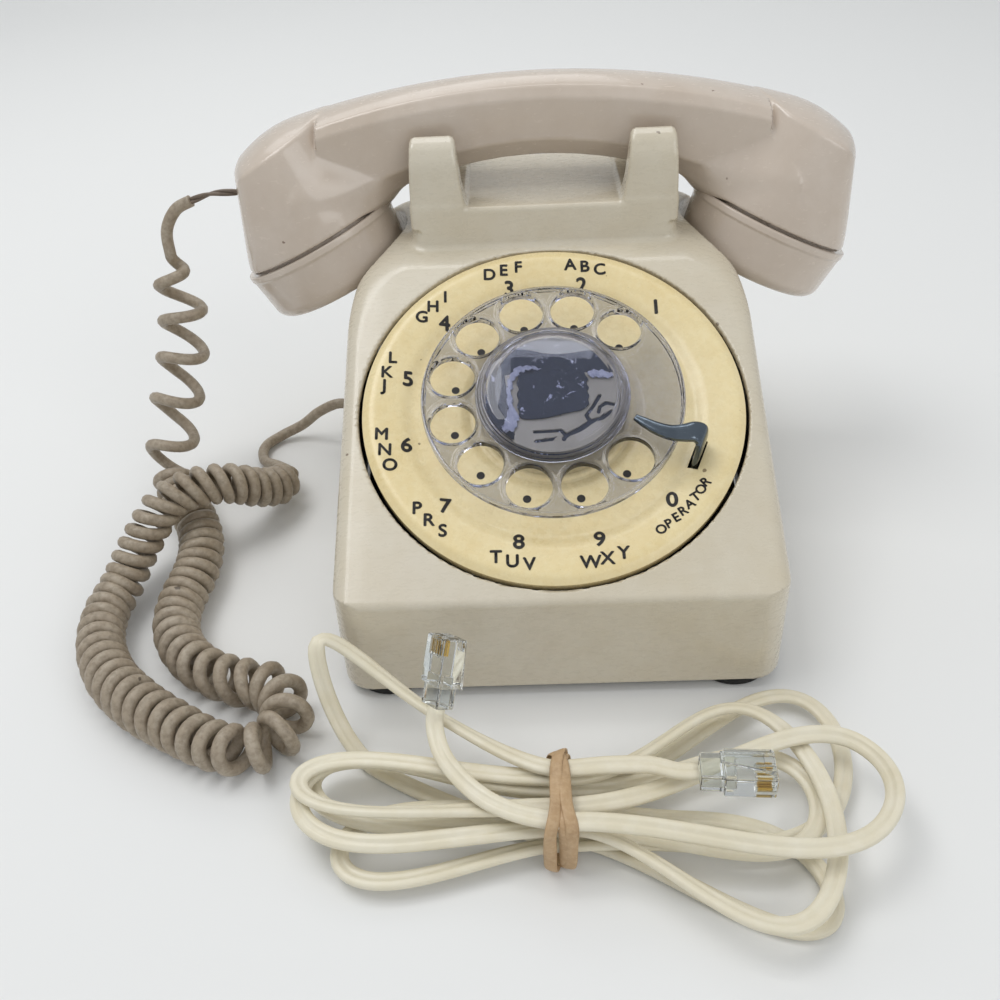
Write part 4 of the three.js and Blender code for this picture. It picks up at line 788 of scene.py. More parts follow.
def makeBand():
    # Strands round the waist of the hank: a rounded rectangle in y and z whose x swings by a sine, so
    # that they cross on top, each a flat section that rolls over slowly as it goes round.
    made = []
    for i in range(band["strands"]):
        a = np.linspace(0, 2 * np.pi, 160, endpoint=False)
        y, z = rounded(a, band["halfDepth"] - 0.5 * i, band["height"] / 2 - 0.25 * i, 0.36, 0.36)
        z += band["height"] / 2 + 0.6
        x = band["middleX"] + (i - 1) * 1.1 + (2.0, -2.2, 0.9)[i] * np.cos(a + 0.5 * i)
        line = np.stack([x, hank["centre"][1] + y, z], -1)
        line = resampled(np.concatenate([line, line[:1]]), 161)[:-1]
        along = np.roll(line, -1, 0) - np.roll(line, 1, 0)
        along /= np.linalg.norm(along, axis=1, keepdims=True)
        side = np.array([1.0, 0, 0]) - along[:, :1] * along
        side /= np.linalg.norm(side, axis=1, keepdims=True)
        out = np.cross(along, side)
        side, out = rolledOver(side, out, (0.35 * np.sin(a * 2 + i))[:, None])
        b = np.linspace(0, 2 * np.pi, 12, endpoint=False)
        rings = ringsAlong(line, side, out, band["width"] / 2 * np.cos(b), band["thickness"] / 2 * np.sin(b))
        mesh = outward(meshOf(f"bandStrand{i + 1}", rings.reshape(-1, 3),
                              gridFaces(160, 12, closedRows=True)))
        made.append(addPiece(f"bandStrand{i + 1}", mesh, "base", bandRubber, "band_rubber",
                             ["rubber_band"] if i == 0 else ()))
    return made


plugPieces = (makePlug("frontPlug", "line_plug_front", plugOne, 0)
              + makePlug("rightPlug", "line_plug_right", plugTwo, math.pi))
bandPieces = makeBand()
tuple(lineCordPath[0])
print("cords, plugs and band")


# Housing.

slope = math.radians(28)
dialCentre = np.array([0, -106 + 0.5 + 60.5 * math.cos(slope), 35.5 + 60.5 * math.sin(slope)])


def onFace(points):  # from the dial's own frame, Z square to the face, to the set's
    return turnAbout(points, "X", slope) + dialCentre


def fromFace(x, y, z):
    y, z = y - dialCentre[1], z - dialCentre[2]
    return x, y * math.cos(slope) + z * math.sin(slope), z * math.cos(slope) - y * math.sin(slope)


capTilt = math.radians(25)


def toHandset(x, y, z):
    y, z = y - handsetPlace[1], z - handsetPlace[2]
    c, s = math.cos(handsetLean), math.sin(handsetLean)
    return x, y * c + z * s, z * c - y * s


def toCap(x, y, z, side):  # handset's frame to a cap's, whose Z looks out of its face
    turn = side * (math.pi - capTilt)
    x, z = x - side * 76.5, z + 6
    return x * math.cos(turn) + z * math.sin(turn), y, z * math.cos(turn) - x * math.sin(turn)


def fromCap(side):
    def place(points):
        turned = turnAbout(points, "Y", -side * (math.pi - capTilt)) + [side * 76.5, 0, -6]
        return fromHandset(turned)
    return place


bush = {"place": (-71, 32, 14.5), "lean": math.radians(12.4)}
housing = {"cell": 1.0, "wall": 2.8, "bottom": 3.4, "cornerFront": 8.5, "cornerFace": 5.0, "cornerRear": 22,
           "ridge": 1.2, "wellEdge": 1.0, "wellDepth": 22.2, "earFillet": 1.6, "keepFaces": 0.5}


def bodyDistance(x, y, z):
    # Planes of the lip, the dial face, the sides and the back, crossed with rounded edges. The sides
    # roll over a quarter ellipse, 20 mm by 18.7 mm, into the shoulders and flare at the rear foot.
    lipY = -106 + (z - 5) * 0.012
    faceY = -105.5 + (z - 35.5) / math.tan(slope)
    drop = np.clip((92.7 - z) / 87.7, 0, None)
    rearY = 51 + 55 * drop ** 1.25
    share = np.clip((y - np.maximum(lipY, faceY)) / np.maximum(rearY - np.maximum(lipY, faceY), 1), 0, 1.15)
    flare = 17 * np.clip(1 - z / 70, 0, 1) ** 1.5 * share
    across = np.abs(x) - flare
    q1, q2 = np.maximum(across - 42.5, 0) / 20, np.maximum(z - 74, 0) / 18.7
    reach = np.hypot(q1, q2)
    steep = np.hypot(q1 / 20, q2 / 18.7) / np.maximum(reach, 1e-6)
    sides = np.where(reach > 1e-4, (reach - 1) / np.maximum(steep, 1e-4), -19.0)
    sides = sides / np.sqrt(1 + (0.36 * np.clip(1 - z / 70, 0, 1) ** 0.5 * share) ** 2)
    lip, face = lipY - y, (z - 35.5) * math.cos(slope) - (y + 105.5) * math.sin(slope)
    rear = (y - rearY) / np.sqrt(1 + (0.784 * drop ** 0.25) ** 2)
    edges = [roundMax(lip, sides, housing["cornerFront"]), roundMax(face, sides, housing["cornerFace"]),
             roundMax(lip, face, housing["ridge"]),
             roundMax(rear, sides, np.minimum(housing["cornerRear"], 6 + 0.9 * np.clip(98 - z, 0, None)))]
    return np.maximum.reduce(edges)


def wellDistance(x, y, z, side):  # room for a cap to hang beside the cradle
    hx, hy, hz = toHandset(x, y, z)
    cx, cy, cz = toCap(hx, hy, hz, side)
    return np.maximum(roundMax(np.hypot(cx, cy) - 28.9, cz - housing["wellDepth"], 5), -12 - cz)


def recessDistance(x, y, z):  # hollow under the cradle's back, where fingers carry the set
    t = np.clip((y - 42) / 48, 0, 1.2)
    middle, half = 77 - 1.5 * t, 11 + 4.5 * t
    return roundMax(roundMax(np.abs(x) - 34 - 3 * t, np.abs(z - middle) - half, 4), 42 - y, 3)


def earDistance(x, y, z):
    # Four posts, mirrored about both middle lines: sides that draw in with height, and two flats
    # above the outer face, the first steep and the second nearly level.
    inner = np.interp(z, [98, 104.1, 110, 128], [24.8, 24.9, 25.8, 27.4])
    outer = np.interp(z, [98, 104.1, 110, 128], [42, 42, 41.8, 40.6])
    near = np.interp(z, [98, 104.1, 110, 128], [13.2, 14.6, 16, 18.6])
    across = np.abs(np.abs(x) - (inner + outer) / 2) - (outer - inner) / 2
    out = np.abs(y - 28)
    steepFlat = ((out - 25.2) * 5.4 + (z - 116.8) * 2.8) / math.hypot(5.4, 2.8)
    levelFlat = ((out - 22.4) * 2.4 + (z - 122.2) * 4.4) / math.hypot(2.4, 4.4)
    outside = roundMax(roundMax(out - 25.2, steepFlat, 1.2), levelFlat, 0.9)
    post = roundMax(roundMax(across, outside, 1.3), near - out, 1.3)
    return np.maximum(post, 97 - z)


def housingDistance(x, y, z):
    walls = bodyDistance(x, y, z)
    body = roundMax(walls, housing["bottom"] - z, 0.7)
    up = np.clip((z - 88) / 15.4, 0, 1)
    platform = roundMax(roundMax(np.abs(x) - 43 + 1.6 * up, np.abs(y - 27.7 - 0.3 * up) - 26.4 + 1.2 * up, 5),
                        z - 103.4, 1.4)
    body = roundMin(body, np.maximum(platform, 84 - z), 2.0)
    wells = np.minimum(wellDistance(x, y, z, -1), wellDistance(x, y, z, 1))
    body = roundMax(body, -wells, housing["wellEdge"])
    saddles = roundMax(np.abs(np.abs(x) - 33.25) - 8.75, np.abs(y - 28) - 25.4, 3)
    saddles = roundMax(saddles, z - 104.1, 0.9)
    body = roundMin(body, np.maximum(saddles, 97 - z), 0.6)
    body = roundMin(body, earDistance(x, y, z), housing["earFillet"])
    # The hollow inside, walled off from the wells and the recess.
    wall = housing["wall"]
    recess = recessDistance(x, y, z)
    hollow = np.maximum(walls + wall, z - 88)
    cradle = np.maximum(roundMax(np.abs(x) - 39, np.abs(y - 28) - 22, 3), np.abs(z - 90.4) - 10.4)
    hollow = np.minimum(hollow, cradle)
    hollow = np.maximum.reduce([hollow, wall - wells, wall - recess])
    body = np.maximum(body, -hollow)
    body = roundMax(body, -recess, 1.6)
    # Openings for the dial, the plungers, the cord bush and the line jack.
    fx, fy, fz = fromFace(x, y, z)
    body = roundMax(body, -np.maximum(np.hypot(fx, fy) - 57.2, np.abs(fz) - 14), 0.5)
    body = roundMax(body, -np.maximum(np.hypot(np.abs(x) - 33.5, y - 26.2) - 4.9, 95 - z), 0.5)
    bx, by, bz = x - bush["place"][0], y - bush["place"][1], z - bush["place"][2]
    c, s = math.cos(bush["lean"]), math.sin(bush["lean"])
    body = np.maximum(body, -np.maximum(np.hypot(by, bx * s + bz * c) - 4.7, np.abs(bz * s - bx * c) - 12))
    jack = np.maximum(np.maximum(np.abs(x - 34) - 8.3, np.abs(z - 16.5) - 8.3), 80 - y)
    return roundMax(body, -jack, 0.5)


def makeHousing():
    mesh = skinMesh("mouldedHousing", housingDistance, (-84, -109, 2), (84, 109, 129), housing["cell"],
                    keep=housing["keepFaces"])
    addPiece("mouldedHousing", mesh, "base", housingAbs, "housing_plastic", ["housing"])


makeHousing()
print("housing")


# Dial.

dialPlate = {"numberRadius": 44.1, "letterRadius": 50.5, "digitHeight": 4.8, "letterHeight": 3.9,
             "wordHeight": 2.8, "dotRadius": 1.2, "dotCircle": 29.6}
fingerWheel = {"holeRadius": 6.5, "holeCircle": 29.9, "firstHole": 46.6, "holeStep": 29.8, "cell": 0.4,
               "lip": 0.35}
plateFace = softened([[11, -2.4], [21.4, -2.4], [22, -1.9], [23, -1.9], [23.6, -2.4], [24.5, -2.4],
                      [27, -1.3],
                      [41.5, -1.3], [44.6, 0.2], [53.4, 1.5], [56, -0.1]],
                      [0.1, 0.3, 0.3, 0.3, 0.1, 0.8, 1.2, 1.4, 2.5], 5)
plateUnder = [[56, -3.6], [54.7, -3.6], [53.2, -0.4], [42, -2.7], [11, -3.9]]
stopSlot = {"radius": 44.3, "angle": math.radians(-23.7), "width": 1.5, "length": 9.6}


def onPlate(radius):  # height of the plate's painted face at a radius
    return np.interp(radius, plateFace[:, 0], plateFace[:, 1])


def makeNumberPlate():
    mesh = turnedMesh("numberPlate", np.concatenate([plateFace, plateUnder]), 220)
    angle, half = stopSlot["angle"], stopSlot["length"] / 2
    slotMiddle = [stopSlot["radius"] * math.cos(angle), stopSlot["radius"] * math.sin(angle), 0]
    slotPlace = lambda p: turnAbout(p, "Z", angle) + slotMiddle
    mesh = cutMesh(mesh, boxMesh("slot", -stopSlot["width"], stopSlot["width"], -half, half, -6, 4,
                                 slotPlace))
    mesh.vertices.foreach_set("co", (onFace(coordinates(mesh)) * mm).ravel())
    mesh.shade_smooth()
    mesh.set_sharp_from_angle(angle=math.radians(40))
    addPiece("numberPlate", mesh, "base", plateEnamel, "dial_plate_paint", ["number_plate"])


def characterMesh(text, height, bold=0.028):
    # The character is laid down five times, once in place and once to each side, which thickens its strokes.
    data = bpy.data.curves.new("character", "FONT")
    data.body, data.size, data.align_x, data.align_y = text, 1.0, "CENTER", "CENTER"
    data.extrude, data.resolution_u = 0.012, 6
    mesh = finalMesh(linked("character", data))
    squares = bmesh.new()  # cut along a grid, so that the character can follow the dished plate
    squares.from_mesh(mesh)
    bmesh.ops.triangulate(squares, faces=squares.faces[:])
    for axis in range(2):
        for step in np.arange(-0.6, 0.9, 0.12):
            place, normal = [0.0] * 3, [0.0] * 3
            place[axis], normal[axis] = step, 1.0
            geometry = squares.verts[:] + squares.edges[:] + squares.faces[:]
            bmesh.ops.bisect_plane(squares, geom=geometry, plane_co=place, plane_no=normal)
    squares.to_mesh(mesh)
    squares.free()
    p = coordinates(mesh) * mm
    low, high = p.min(0), p.max(0)
    p -= [(low[0] + high[0]) / 2, (low[1] + high[1]) / 2, 0]
    shifts = [(0, 0), (bold, 0), (-bold, 0), (0, bold), (0, -bold)]
    faces = [[i + k * len(p) for i in f.vertices] for k in range(len(shifts)) for f in mesh.polygons]
    return np.concatenate([p + [x, y, 0] for x, y in shifts]) / 0.72 * height, faces


def makeLettering():
    # Each character stands upright beside its hole; the small word under the nought follows its circle.
    marks = [("1", 46.7, 45.2, dialPlate["digitHeight"], 0)]
    for digit, letters, angle, middle in [
            ("2", "CBA", 75.9, 76.1), ("3", "FED", 105.5, 105.2), ("4", "IHG", 136.2, 134.4),
            ("5", "LKJ", 165.6, 165.1),
            ("6", "MNO", 194.9, 195.1), ("7", "PRS", 224.9, 225.1), ("8", "TUV", 255.6, 255.3),
            ("9", "WXY", 284.8, 284.9)]:
        marks.append((digit, dialPlate["numberRadius"], angle, dialPlate["digitHeight"], 0))
        apart = 5.1 + 0.9 * abs(math.cos(math.radians(middle)))  # letters one above the other need more room
        marks += [(c, dialPlate["letterRadius"], middle + apart * (i - 1), dialPlate["letterHeight"], 0)
                  for i, c in enumerate(letters)]
    marks.append(("0", 45.0, 315.4, dialPlate["digitHeight"], 0))
    marks += [(c, 49.6, 304.6 + 3.24 * i, dialPlate["wordHeight"], 0.6) for i, c in enumerate("OPERATOR")]
    points, faces, count = [], [], 0
    for text, radius, angle, height, lean in marks:
        p, f = characterMesh(text, height)
        a = math.radians(angle)
        p = turnAbout(p, "Z", lean * (a - 1.5 * math.pi)) + [radius * math.cos(a), radius * math.sin(a), 0]
        p[:, 2] += onPlate(np.hypot(p[:, 0], p[:, 1])) + 0.07
        faces += [[i + count for i in face] for face in f]
        points.append(p)
        count += len(p)
    mesh = meshOf("dialCharacters", onFace(np.concatenate(points)), faces, False)
    addPiece("dialCharacters", mesh, "base", blackInk)
    dots = []
    for i in range(10):
        a = math.radians(fingerWheel["firstHole"] + fingerWheel["holeStep"] * i - 1.5)
        ring = turnedPoints(np.array([[dialPlate["dotRadius"], -1.24]]), 24)[0]
        dots.append(ring + [dialPlate["dotCircle"] * math.cos(a),
                            dialPlate["dotCircle"] * math.sin(a) - 1.0, 0])
    faces = np.arange(240).reshape(10, 24)
    addPiece("dialDots", meshOf("dialDots", onFace(np.concatenate(dots)), faces, False), "base", blackInk)


makeNumberPlate()
makeLettering()


def wheelDistance(x, y, z):
    # A disc with a sunk middle, and ten round holes whose edges stand up as thin lips.
    r = np.hypot(x, y)
    circle = fingerWheel["holeCircle"]
    angles = [math.radians(fingerWheel["firstHole"] + fingerWheel["holeStep"] * i) for i in range(10)]
    hole = np.minimum.reduce([np.hypot(x - circle * math.cos(a), y - circle * math.sin(a)) for a in angles])
    hole = hole - fingerWheel["holeRadius"]
    top = 6.3 + fingerWheel["lip"] * np.exp(-(((hole - 0.7) / 0.6) ** 2))
    disc = roundMax(np.maximum(r - 36.95, z - top), 3.6 - z, 0.3)
    disc = roundMax(disc, -hole, 0.6)
    sunk = np.maximum(r - 17.5, 4.8 - z)
    disc = roundMax(disc, -sunk, 0.4)
    return np.maximum(disc, 2.6 - r)


def makeFingerWheel():
    mesh = skinMesh("fingerWheel", wheelDistance, (-38, -38, 2.6), (38, 38, 8), fingerWheel["cell"], onFace)
    addPiece("fingerWheel", mesh, "dial", wheelAcrylic, "clear_plastic", ["finger_wheel"])
    # The beaded rim is turned, so that its long edge lights run unbroken.
    bead = softened([[37, 3.8], [37.4, 3.4], [38.1, 4.2], [38.1, 6.2], [37.6, 6.9], [37, 6.5]], 0.3, 4)
    addPiece("wheelRim", turnedMesh("wheelRim", bead, 240, onFace), "dial", wheelAcrylic, "clear_plastic")


def makeCardCover():
    # A clear dome with ribbed steps round its foot, hollow below.
    inside = [[0, 10.9], [9.6, 10.7], [16.4, 10.1], [18.2, 9.3], [19.1, 8.2], [19.6, 7.4], [20.5, 6.7]]
    outside = [[22.3, 6.7], [22.3, 7.4], [21.6, 7.5], [21.4, 8.1], [20.8, 8.2], [20.6, 8.8], [20.1, 8.9],
               [19.9, 9.7], [18.9, 10.6], [17, 11.1], [10, 11.7], [0, 11.9]]
    mesh = turnedMesh("cardCover", softened(inside + outside, 0.16, 3), 160, onFace)
    addPiece("cardCover", mesh, "dial", wheelAcrylic, "clear_plastic", ["card_cover"])


def strokeDistance(x, y, stroke):  # distance from a chain of (x, y, half width), tapering between its places
    parts = []
    for (x0, y0, w0), (x1, y1, w1) in zip(stroke[:-1], stroke[1:]):
        length = (x1 - x0) ** 2 + (y1 - y0) ** 2
        t = np.clip(((x - x0) * (x1 - x0) + (y - y0) * (y1 - y0)) / length, 0, 1)
        parts.append(np.hypot(x - x0 - t * (x1 - x0), y - y0 - t * (y1 - y0)) - w0 - t * (w1 - w0))
    return np.minimum.reduce(parts)


# Slots round the spring fingers, and the gap between the plate and the dome at the lower right.
plateSlots = [
    [(-5.6, -12.9, 0.45), (1.9, -12.7, 0.5), (3.2, -14.3, 0.6), (2.6, -15.6, 0.6)],
    [(-5.3, -16.0, 0.45), (-0.8, -15.6, 0.45), (0.4, -14.8, 0.2)],
    [(9.2, -8.2, 0.5), (10.3, -10.2, 0.7), (7.2, -12.6, 0.9), (3.4, -14.4, 0.8)],
    [(13.2, -1.9, 0.55), (11.3, -5.2, 0.5), (9.2, -8.0, 0.5)],
    [(10.3, -10.2, 0.8), (13.8, -9.2, 0.6), (16.4, -7.2, 0.5)],
    [(12.7, -7.2, 0.5), (13.2, -5.4, 0.5), (14.9, -4.3, 0.6), (17.4, -5.0, 0.5)],
]
tornPaper = [
    [(-12.4, -11.0, 1.9), (-11.6, -8.2, 1.8), (-12.0, -5.0, 0.8), (-12.6, -0.5, 0.7), (-11.9, 4.0, 0.8),
     (-9.8, 7.2, 1.1), (-6.6, 8.0, 0.7), (-3.5, 7.4, 0.3)],
    [(11.4, 5.2, 1.1), (14.2, 5.0, 1.3), (16.6, 4.4, 0.9)],
]


def cardPlateDistance(x, y, z):
    # A thin disc that ends in a ragged edge at the left, with slots that leave its spring fingers free.
    plate = roundMax(roundMax(np.hypot(x, y) - 19, z - 7.4, 0.12), 6.9 - z, 0.12)
    left, above = x + 11.5 + 0.12 * (y + 12), 6.2 - y + 0.2 * np.sin(x)
    cuts = np.minimum.reduce([left, above, *[strokeDistance(x, y, slot) for slot in plateSlots]])
    return np.maximum(plate, -cuts)


def cardDistance(x, y, z):
    # The card on the plate, its corners rounded, and a dark sheet under the plate that is painted shade: it
    # darkens what shows through the plate's slots.
    left, right = -10.0 + 0.2 * np.sin(y * 1.7), 10.1 + 0.2 * np.sin(y * 2.3)
    top = 6.6 + 0.4 * np.sin(x * 1.3) + 0.2 * np.sin(x * 3.7)
    bottom = -7.6 - 0.9 * np.exp(-(((x + 3) / 6) ** 2)) + 0.12 * x
    outline = roundMax(roundMax(left - x, x - right, 1), roundMax(y - top, bottom - y, 1), 2.6)
    card = roundMax(outline, np.abs(z - 7.8) - 0.25, 0.1)
    # A dark disc of painted shade under the card plate, not a real part.
    shadeSheet = roundMax(np.hypot(x, y) - 19.2, np.abs(z - 6.45) - 0.25, 0.1)
    return np.minimum(card, shadeSheet)


def tornDistance(x, y, z):
    ragged = (0.22 * np.sin(3.1 * x + 1.7 * y) + 0.16 * np.sin(7.3 * y - 4.1 * x)
              + 0.1 * np.sin(13 * x + 11 * y))
    outline = np.minimum.reduce([strokeDistance(x, y, scrap) for scrap in tornPaper]) + ragged
    return roundMax(outline, np.abs(z - 8.0) - 0.22, 0.08)


def makeCardPlate():
    for name, distance, keep, material, slot, replaced in [
            ("cardPlate", cardPlateDistance, 0.4, cardPlatePaint, "card_plate_paint", ["card_plate"]),
            # The number card's piece also holds the dark sheet of painted shade under the plate.
            ("numberCard", cardDistance, 0.3, darkCardAndShadeSheet, "card_paper", ["number_card"]),
            ("tornPaper", tornDistance, 0.5, paleFibre, "card_paper", ())]:
        mesh = skinMesh(name, distance, (-20, -20, 5.9), (20, 20, 8.7), 0.22, onFace, keep)
        addPiece(name, mesh, "dial", material, slot, replaced)


makeFingerWheel()
makeCardCover()
makeCardPlate()


def makeFingerStop():
    # Stations along a strip, each with a half width and a half thickness, joined by a smooth curve:
    # a flat leg up through the plate, bent over and narrowed to a blunt tip.
    knots = np.array([(40.6, -17.8, -5.2), (40.6, -17.8, -1.5), (40.7, -17.7, 2.5), (40.9, -17.2, 6.4),
                      (40.4, -16.4, 9.2),
                      (38.6, -16.0, 10.2), (35.8, -16.2, 10.3), (32.2, -16.0, 10.2), (28.4, -14.4, 10),
                      (25.2, -12.3, 9.8), (22.6, -10.4, 9.7)])
    sizes = np.array([(4.4, 1), (4.4, 1), (4.3, 1), (3.9, 1), (3.4, 1), (3, 1.2), (2.6, 1.25), (2.2, 1.25),
                      (1.8, 1.15), (1.4, 1), (0.9, 0.7)])
    line = curvePoints(knots, 10)
    at = np.linspace(0, len(knots) - 1, len(line))
    half = np.stack([np.interp(at, range(len(knots)), sizes[:, k]) for k in (0, 1)], -1)
    along = np.gradient(line, axis=0)
    along /= np.linalg.norm(along, axis=1, keepdims=True)
    across = np.array([math.sin(-stopSlot["angle"]), math.cos(stopSlot["angle"]), 0])
    side = across - (along @ across)[:, None] * along
    side /= np.linalg.norm(side, axis=1, keepdims=True)
    up = np.cross(along, side)
    b = np.linspace(0, 2 * np.pi, 24, endpoint=False)
    rings = ringsAlong(line, side, up, *rounded(b, half[:, :1], half[:, 1:], 0.55, 0.55))
    mesh = tubeMesh("fingerStop", onFace(rings.reshape(-1, 3)).reshape(rings.shape))
    addPiece("fingerStop", mesh, "base", stopSteel, "finger_stop_steel", ["finger_stop"])


makeFingerStop()
print("dial")


# Handset.

handle = {"cell": 0.85, "crownRadius": 291, "crown": 42.5, "halfLength": 99.6, "chamfer": 2.4,
          "lowerStrip": 5.5, "cupRadius": 27.5, "cupTaper": 5.6, "boreRadius": 22.8, "boreDepth": 14,
          "endWall": 2.4, "keepFaces": 0.7}


def handleDistance(x, y, z):
    # Grip: a domed crown, chamfered creases, sides that lean in below. Cups: drums with their own
    # lean at both ends. All of it stays under one arched crown, domed from front to back.
    crown = handle["crown"] - x ** 2 / (2 * handle["crownRadius"])
    spread = 15 + 5 * (x / 70) ** 2
    under = 17.5 - x ** 2 / 262
    tall = crown - under - 9.1
    side = ((np.abs(y) - spread) * tall - (crown - 4.6 - z) * -4.5) / np.hypot(tall, 4.5)
    arch = (z - crown + 4.6 * (y / spread) ** 2) / np.sqrt(1 + (x / 291) ** 2 + (9.2 * y / spread ** 2) ** 2)
    below = (under - z) / np.sqrt(1 + (x / 131) ** 2)
    grip = bevelMax(bevelMax(arch, side, handle["chamfer"]), below, handle["lowerStrip"], 0.35)
    grip = np.maximum(grip, np.abs(x) - 70)
    cups = None
    for end in (-1, 1):
        cx, cy, cz = toCap(x, y, z, end)
        radius = handle["cupRadius"] - handle["cupTaper"] * np.clip((-4 - cz) / 42, 0, 1) ** 1.5
        cup = np.maximum(roundMax(np.hypot(cx, cy) - radius, cz + 0.5, 0.8), -46 - cz)
        cups = cup if cups is None else np.minimum(cups, cup)
    fillet = 0.9 + 10.0 * smooth((23 - z) / 14)
    body = roundMin(grip, cups, fillet)
    end = np.clip((np.abs(x) - 78) / 24, 0, 1)
    top = crown - 8 * end ** 2.4
    fall = x / 291 + 0.8 * end ** 1.4
    envelope = (z - top + y ** 2 / 87) / np.sqrt(1 + fall ** 2 + (y / 43.5) ** 2)
    body = roundMax(body, envelope, 0.8)
    ends = (np.abs(x) - handle["halfLength"] + y ** 2 / 110) / np.sqrt(1 + (y / 55) ** 2)
    body = roundMax(body, ends, 2.5)
    for end in (-1, 1):
        cx, cy, cz = toCap(x, y, z, end)
        r = np.hypot(cx, cy)
        bore = [r - handle["boreRadius"], -handle["boreDepth"] - cz, ends + handle["endWall"]]
        body = np.maximum(body, -np.maximum.reduce(bore))
        body = np.minimum(body, np.maximum(np.abs(r - 23.6) - 0.8, np.abs(cz - 1.75) - 3.75))
    return np.maximum(body, -np.maximum(np.hypot(y, z - 8.5) - 2, x + 80))


def makeHandle():
    mesh = skinMesh("handsetHandle", handleDistance, (-105, -30, -25), (105, 30, 45), handle["cell"],
                    fromHandset, handle["keepFaces"])
    addPiece("handsetHandle", mesh, "handset", handsetAbs, "handset_plastic", ["handset_handle"])


capShape = {"depth": 19.6, "edge": 3.4}


def capDistance(rings):
    def distance(x, y, z):
        # A cup turned over: a bead at the seam, a side that draws in, a low dome, and small holes through it.
        r = np.hypot(x, y)
        depth = capShape["depth"]
        outer = np.interp(z, [0, 2.6, 3.3, depth], [27.5, 27.5, 27.0, 25.0])
        face = (z - depth + r ** 2 / 392) / np.sqrt(1 + (r / 196) ** 2)
        shell = roundMax(roundMax(r - outer, face, capShape["edge"]), 0.5 - z, 0.7)
        inner = np.maximum(r - np.where(z < 7, 24.8, 24.8 - (z - 7) * 0.4), z - depth + 2.2 + r ** 2 / 392)
        shell = np.maximum(shell, -inner)
        holes = [np.hypot(x, y)]
        for count, radius in rings:
            turn = 2 * math.pi / count
            k = np.round(np.arctan2(y, x) / turn - 0.5) + 0.5
            holes.append(np.hypot(x - radius * np.cos(k * turn), y - radius * np.sin(k * turn)))
        return roundMax(shell, -np.maximum(np.minimum.reduce(holes) - 1.3, 5 - z), 0.3)
    return distance


def makeCaps():
    for name, node, side, rings in [("transmitterCap", "transmitter_cap", -1, [(6, 7.6)]),
                                    ("receiverCap", "receiver_cap", 1, [(5, 6)])]:
        mesh = skinMesh(name, capDistance(rings), (-29, -29, -1), (29, 29, 21), 0.62, fromCap(side), 0.7)
        addPiece(name, mesh, "handset", handsetAbs, "handset_plastic", [node])


makeHandle()
makeCaps()
print("handset")


# Small turned pieces.

def makeSmallPieces():
    for name, x, y in [("foot_front_left", -50, -94), ("foot_front_right", 50, -94),
                       ("foot_rear_left", -58, 82), ("foot_rear_right", 58, 82)]:
        profile = softened([[0, 0], [10.4, 0], [11.2, 0.7], [11.2, 2.6], [8.6, 3], [8.6, 6.3], [4, 6.3],
                            [4, 8.5], [5.4, 8.5], [4, 11], [0, 11]], 0.4, 4)
        mesh = turnedMesh(name + "_rubber", profile, 48, lambda p: p + [x, y, 0])
        addPiece(name + "_rubber", mesh, "base", footRubber, "foot_rubber", [name])
    for name, side in [("plunger_left", -1), ("plunger_right", 1)]:
        profile = softened([[0, 76], [2.4, 76], [2.6, 92], [4.5, 92.4], [4.5, 104.5], [3.2, 105.6],
                            [0, 105.9]], 0.7, 5)
        mesh = turnedMesh(name + "_nylon", profile, 48, lambda p: p + [side * 33.5, 26.2, 0])
        addPiece(name + "_nylon", mesh, name, ivoryNylon, "ivory_small", [name])
    profile = softened([[0, -4.8], [4.4, -4.8], [4.4, 0.5], [6, 0.5], [5.6, 2.1], [3.6, 3.2], [3.2, 4.9],
                        [0, 4.9]], 0.4, 4)
    mesh = turnedMesh("cordBush", profile, 48,
                      lambda p: turnAbout(p, "Y", -math.pi / 2 + bush["lean"]) + bush["place"])
    addPiece("cordBush", mesh, "base", bushVinyl, "black_plastic", ["cord_bush"])


makeSmallPieces()


# Metal and hidden parts keep their CAD shape.

nodeFinish = {
    zincSteel: ["base_plate", "hook_bracket", "ringer_frame", "network_block", "dial_frame", "dial_bracket",
                "governor_cup",
                "transmitter_unit", "receiver_unit", "hook_lever", "clapper_pin", "loudness_post",
                "dial_spindle", "spring_barrel", "housing_screw_front", "housing_screw_rear"],
    turnedBrass: ["gong_left", "gong_right", "clapper", "main_gear", "pulse_gear", "pulse_contacts",
                  "hook_contacts", "spindle_nut"],
    windingCopper: ["ringer_coil"],
    ivoryNylon: ["line_jack", "loudness_wheel"],
}


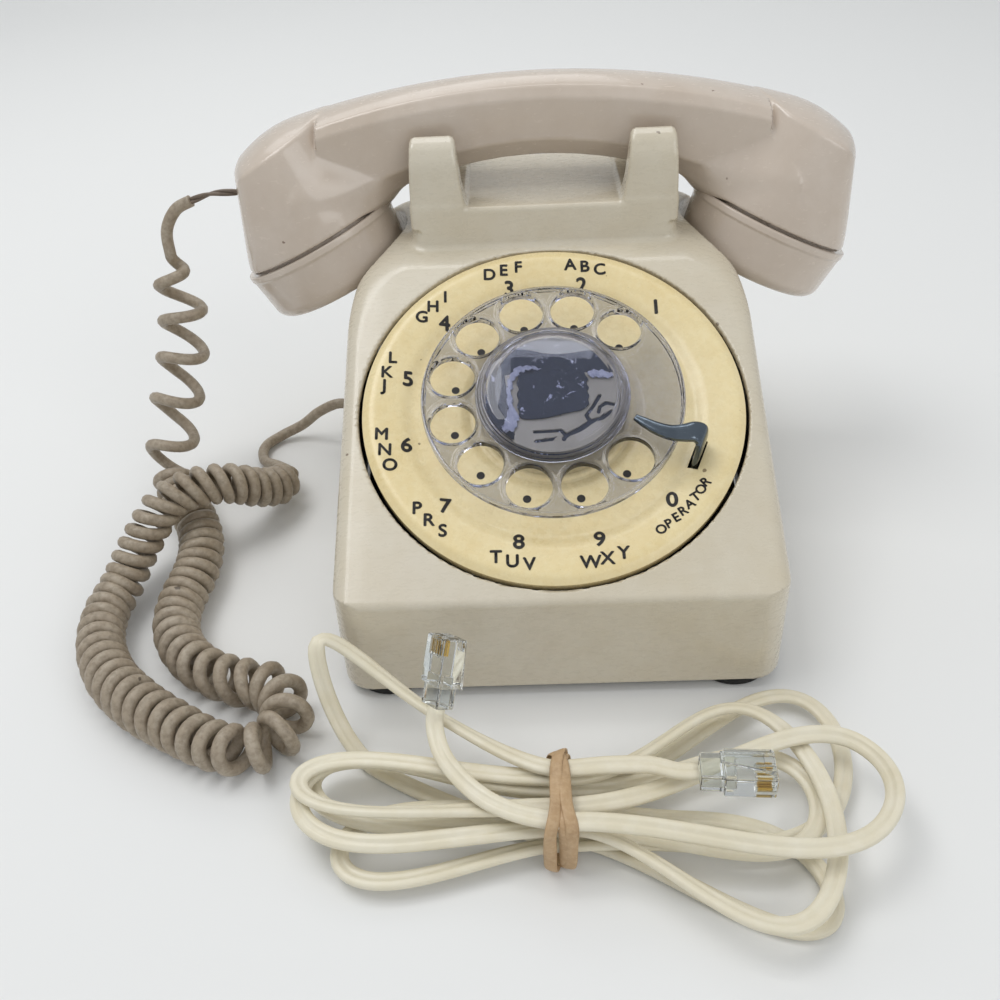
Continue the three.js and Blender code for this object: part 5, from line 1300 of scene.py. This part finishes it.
def finishNodes():
    for material, names in nodeFinish.items():
        for name in names:
            piece = nodes[name]
            if not piece.material_slots:
                piece.data.materials.append(material)
            piece.material_slots[0].link = "OBJECT"
            piece.material_slots[0].material = material
            edge = piece.modifiers.new("edge", "BEVEL")
            edge.width, edge.segments, edge.limit_method = 0.25 * mm, 2, "ANGLE"
            edge.angle_limit = math.radians(40)


finishNodes()
print("nodes")


# Floor and light.

studio = {"floor": "#e9e9e7", "world": 0.6, "key": 4.4, "fill": 2.7, "rim": 1.8, "panel": 0.8}


def makeStudio():
    scene = bpy.context.scene
    scene.view_settings.view_transform = "Standard"
    world = bpy.data.worlds.new("studio")
    scene.world = world
    world.use_nodes = True
    world.node_tree.nodes["Background"].inputs["Color"].default_value = (0.93, 0.96, 1.0, 1)
    world.node_tree.nodes["Background"].inputs["Strength"].default_value = studio["world"]
    material = newMaterial("plain pale floor", {"Roughness": 0.8, "Base Color": linear(studio["floor"])})[0]
    angle = np.linspace(0, np.pi / 2, 12)
    bend = [(-1.6, 0), *zip(0.9 + 0.5 * np.sin(angle), 0.5 - 0.5 * np.cos(angle)), (1.4, 2.4)]
    points = np.array([[x, y, z] for y, z in bend for x in (-2.6, 2.6)])
    floor = linked("floor", meshOf("floor", points / mm, gridFaces(len(bend), 2, closedColumns=False)))
    floor.data.materials.append(material)
    for name, place, aim, size, power in [
            ("keyLight", (-0.45, 0.05, 1.1), (0, 0, 0.05), (0.75, 0.5), studio["key"]),
            ("fillLight", (0.75, -0.85, 0.8), (0, 0, 0.05), (0.7, 0.7), studio["fill"]),
            ("panelLight", (0.02, 0.3, 1.2), (0, 0, 0.08), (0.5, 0.12), studio["panel"]),
            ("rearLight", (-0.3, 1.0, 0.95), (0, 0, 0.08), (1.1, 0.5), studio["rim"])]:
        data = bpy.data.lights.new(name, "AREA")
        data.shape, data.size, data.size_y, data.energy = "RECTANGLE", *size, power
        lamp = linked(name, data)
        lamp.location = place
        lamp.rotation_euler = (Vector(aim) - Vector(place)).to_track_quat("-Z", "Y").to_euler()


makeStudio()
print("studio")
